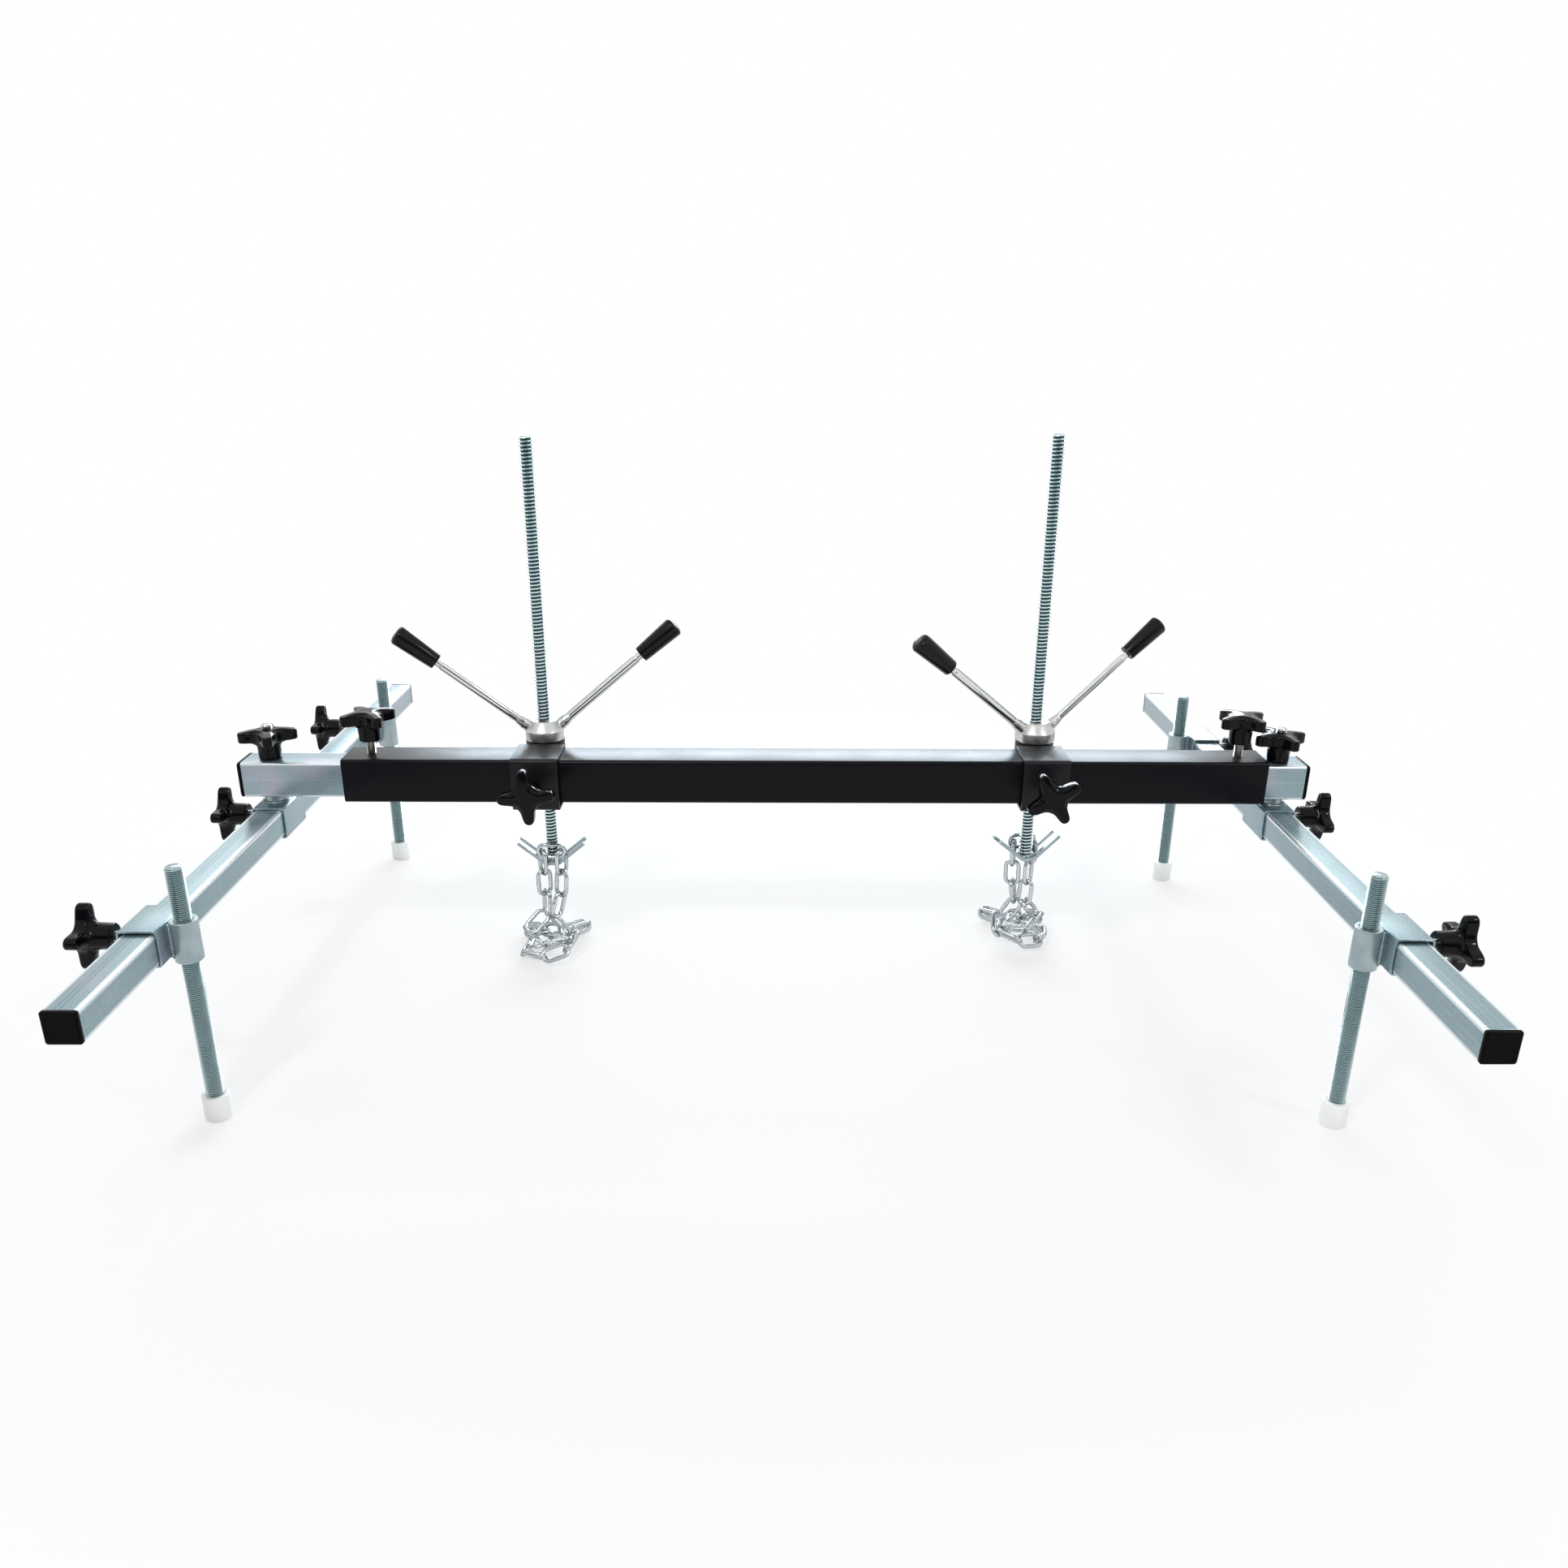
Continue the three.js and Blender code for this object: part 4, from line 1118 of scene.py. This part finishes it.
def add_lift(side):
    node, screw_node = f"{side}_lift_hub", f"{side}_lift_screw"
    axis = middle(screw_node)
    turn = turned(handle_turns[side], "Z")
    at = shifted(axis.x, axis.y, low(node).z + hub.spigot)
    dress(f"{side}_lift_nut", hub_form(), "nut", node, turn, at)
    for number, (where, half_turn) in enumerate({"left": 180, "right": 0}.items()):
        name = f"{side}_lift_{where}"
        dress(f"{name}_rod", along_handle(rod_form(), half_turn), "rod", node, turn, at)
        lump = along_handle(handle_weld_form(number * 7 + len(side)), half_turn)
        dress(f"{name}_rod_weld", lump, "nut", node, turn, at, angle=weld_angle)
        hold = placed(grip_form(), shifted(z=handle.reach - grip.cover))
        dress(f"{name}_handle_grip", along_handle(hold, half_turn), "grip", f"{name}_grip", turn, at)
    foot, start = low(screw_node).z, lift_screw.start
    rod = thread(lift_screw, high(screw_node).z - foot - start, TRAPEZOID_THREAD, around=36)
    above_hook = shifted(axis.x, axis.y, foot + start)
    dress(f"{side}_lift_threaded_rod", rod, "screw", screw_node, above_hook, angle=thread_angle)
    turn, at = turned(hook_turns[side], "Z"), shifted(axis.x, axis.y, foot)
    dress(f"{side}_hook_plate", hook_form(), "boss", screw_node, turn, at, angle=plate_angle)
    ring_radius, ring_z = lift_screw.radius + hook_weld.out, hook.thickness + hook_weld.rise
    ring = bead(circle(ring_radius, ring_z, hook_weld.points), 5, closed=True, radius=hook_weld.radius)
    dress(f"{side}_hook_weld", ring, "weld", screw_node, at, angle=weld_angle)
    at = shifted(axis.x, axis.y)
    dress(f"{side}_link_chain", chain_form(side), "link", f"{side}_chain", at, angle=weld_angle)


# Studio, in metres
floor_half = 12
floor_drop = 0.0005
floor_grey = (0.76, 0.76, 0.76)
floor_fade = Sizes(start=0.5, end=1.1, least=0.6)
ambient = 0.7
lamp_aim = (0, 0, 0.2)
# Each lamp's place, its width and height, its brightness and its tint
LAMPS = {
    "key": ((-0.8, -1.7, 2.2), (0.26, 0.26), 90, WHITE),
    "fill": ((1.7, -1.2, 1.7), (0.24, 0.24), 36, WHITE),
    "back": ((0, 2.6, 1.9), (4.6, 1.1), 1.7, WHITE),
    "back_strip": ((0.12, 2.3, 1.03), (2.5, 0.4), 20, (0.76, 0.89, 1)),
}
flag_card = Sizes(y=-2.6, half_width=2.4, foot=0.15, top=1.5, colour=(0.11, 0.115, 0.15))


def card(name, corners, material):
    data = bpy.data.meshes.new(name)
    data.from_pydata(corners, [], [(0, 1, 2, 3)])
    data.materials.append(material)
    return new_object(name, data)


def floor_white():
    """A pale floor's material, which keeps the object's shadow and turns to plain white further out."""
    s = Shading("floor_white")
    s.set(Base_Color=floor_grey, Roughness=1, Specular_IOR_Level=0)
    far = s.add("VectorMath", {"operation": "LENGTH"}, Vector=s.place).outputs["Value"]
    far = s.between(far, floor_fade.start, floor_fade.end, floor_fade.least, 1)
    mix = s.add("MixShader", Fac=s.times(far, s.seen_directly()))
    s.feed(mix.inputs[1], s.surface.outputs["BSDF"])
    s.feed(mix.inputs[2], s.add("Emission").outputs["Emission"])
    s.feed(s.tree.nodes["Material Output"].inputs["Surface"], mix.outputs["Shader"])
    return s.material


def add_floor():
    corners = [(x * floor_half, y * floor_half, 0) for x, y in ((-1, -1), (1, -1), (1, 1), (-1, 1))]
    floor = card("floor", corners, floor_white())
    floor.location.z = -floor_drop


def add_world():
    """White where the camera or a mirroring surface sees it, and a softer light on everything."""
    world = bpy.data.worlds.new("studio")
    bpy.context.scene.world = world
    world.use_nodes = True
    s = Nodes(world.node_tree)
    background = s.tree.nodes["Background"]
    strength = s.between(s.seen_directly(), 0, 1, ambient, 1)
    s.fill(background, {"Color": WHITE, "Strength": strength})


def add_lamp(name, place, size, brightness, tint):
    """A soft box of the given width and height, so many times as bright as the white background."""
    width, height = size
    light = bpy.data.lights.new(name, "AREA")
    light.shape = "RECTANGLE"
    light.size = width
    light.size_y = height
    light.color = tint
    light.energy = brightness * pi * width * height
    lamp = new_object(name, light)
    lamp.location = place
    direction = Vector(lamp_aim) - Vector(place)
    lamp.rotation_euler = direction.to_track_quat("-Z", "Y").to_euler()
    lamp.visible_camera = False


def add_flag():
    """A dark card behind the camera, which only shows as a mirror image in the metal."""
    half, foot, top = flag_card.half_width, flag_card.foot, flag_card.top
    corners = [(x, flag_card.y, z) for x, z in ((-half, foot), (half, foot), (half, top), (-half, top))]
    s = Shading("flag_black")
    material = s.set(Base_Color=flag_card.colour, Roughness=1, Specular_IOR_Level=0)
    flag = card("flag", corners, material)
    for way in ("camera", "diffuse", "transmission", "shadow", "volume_scatter"):
        setattr(flag, f"visible_{way}", False)


# Camera, its angles in radians, solved from the tubes, knobs and screws in the photograph
photo_pixels = 1932
photo_focal_pixels = 1555.67
photo_centre_pixels = (982.7, 1014.34)
sensor_width = 36
camera_place = Vector((-3.47, -1349.57, 712.31))
camera_turns = (0.0197, 0.3742, 0.0096)


def add_camera():
    yaw, pitch, roll = camera_turns
    forward = Vector((sin(yaw) * cos(pitch), cos(yaw) * cos(pitch), -sin(pitch)))
    level = Vector((cos(yaw), -sin(yaw), 0))
    upright = level.cross(forward)
    right = level * cos(roll) + upright * sin(roll)
    above = upright * cos(roll) - level * sin(roll)
    data = bpy.data.cameras.new("photo_camera")
    data.sensor_width = sensor_width
    data.lens = sensor_width * photo_focal_pixels / photo_pixels
    half = photo_pixels / 2
    data.shift_x = (half - photo_centre_pixels[0]) / photo_pixels
    data.shift_y = (photo_centre_pixels[1] - half) / photo_pixels
    camera = new_object("photo_camera", data)
    turn = Matrix((right, above, -forward)).transposed().to_4x4()
    camera.matrix_world = Matrix.Translation(camera_place * MM) @ turn
    bpy.context.scene.camera = camera


bpy.context.scene.view_settings.view_transform = "Standard"
add_camera()
add_floor()
add_world()
for name, lamp in LAMPS.items():
    add_lamp(name, *lamp)
add_flag()
add_beam()
for side, out in SIDES.items():
    add_extension(side, out)
    add_swivel(side)
    add_rail(side)
    add_foot(side, "front", out)
    add_foot(side, "rear", out)
    add_lift_sleeve(side)
    add_lift(side)
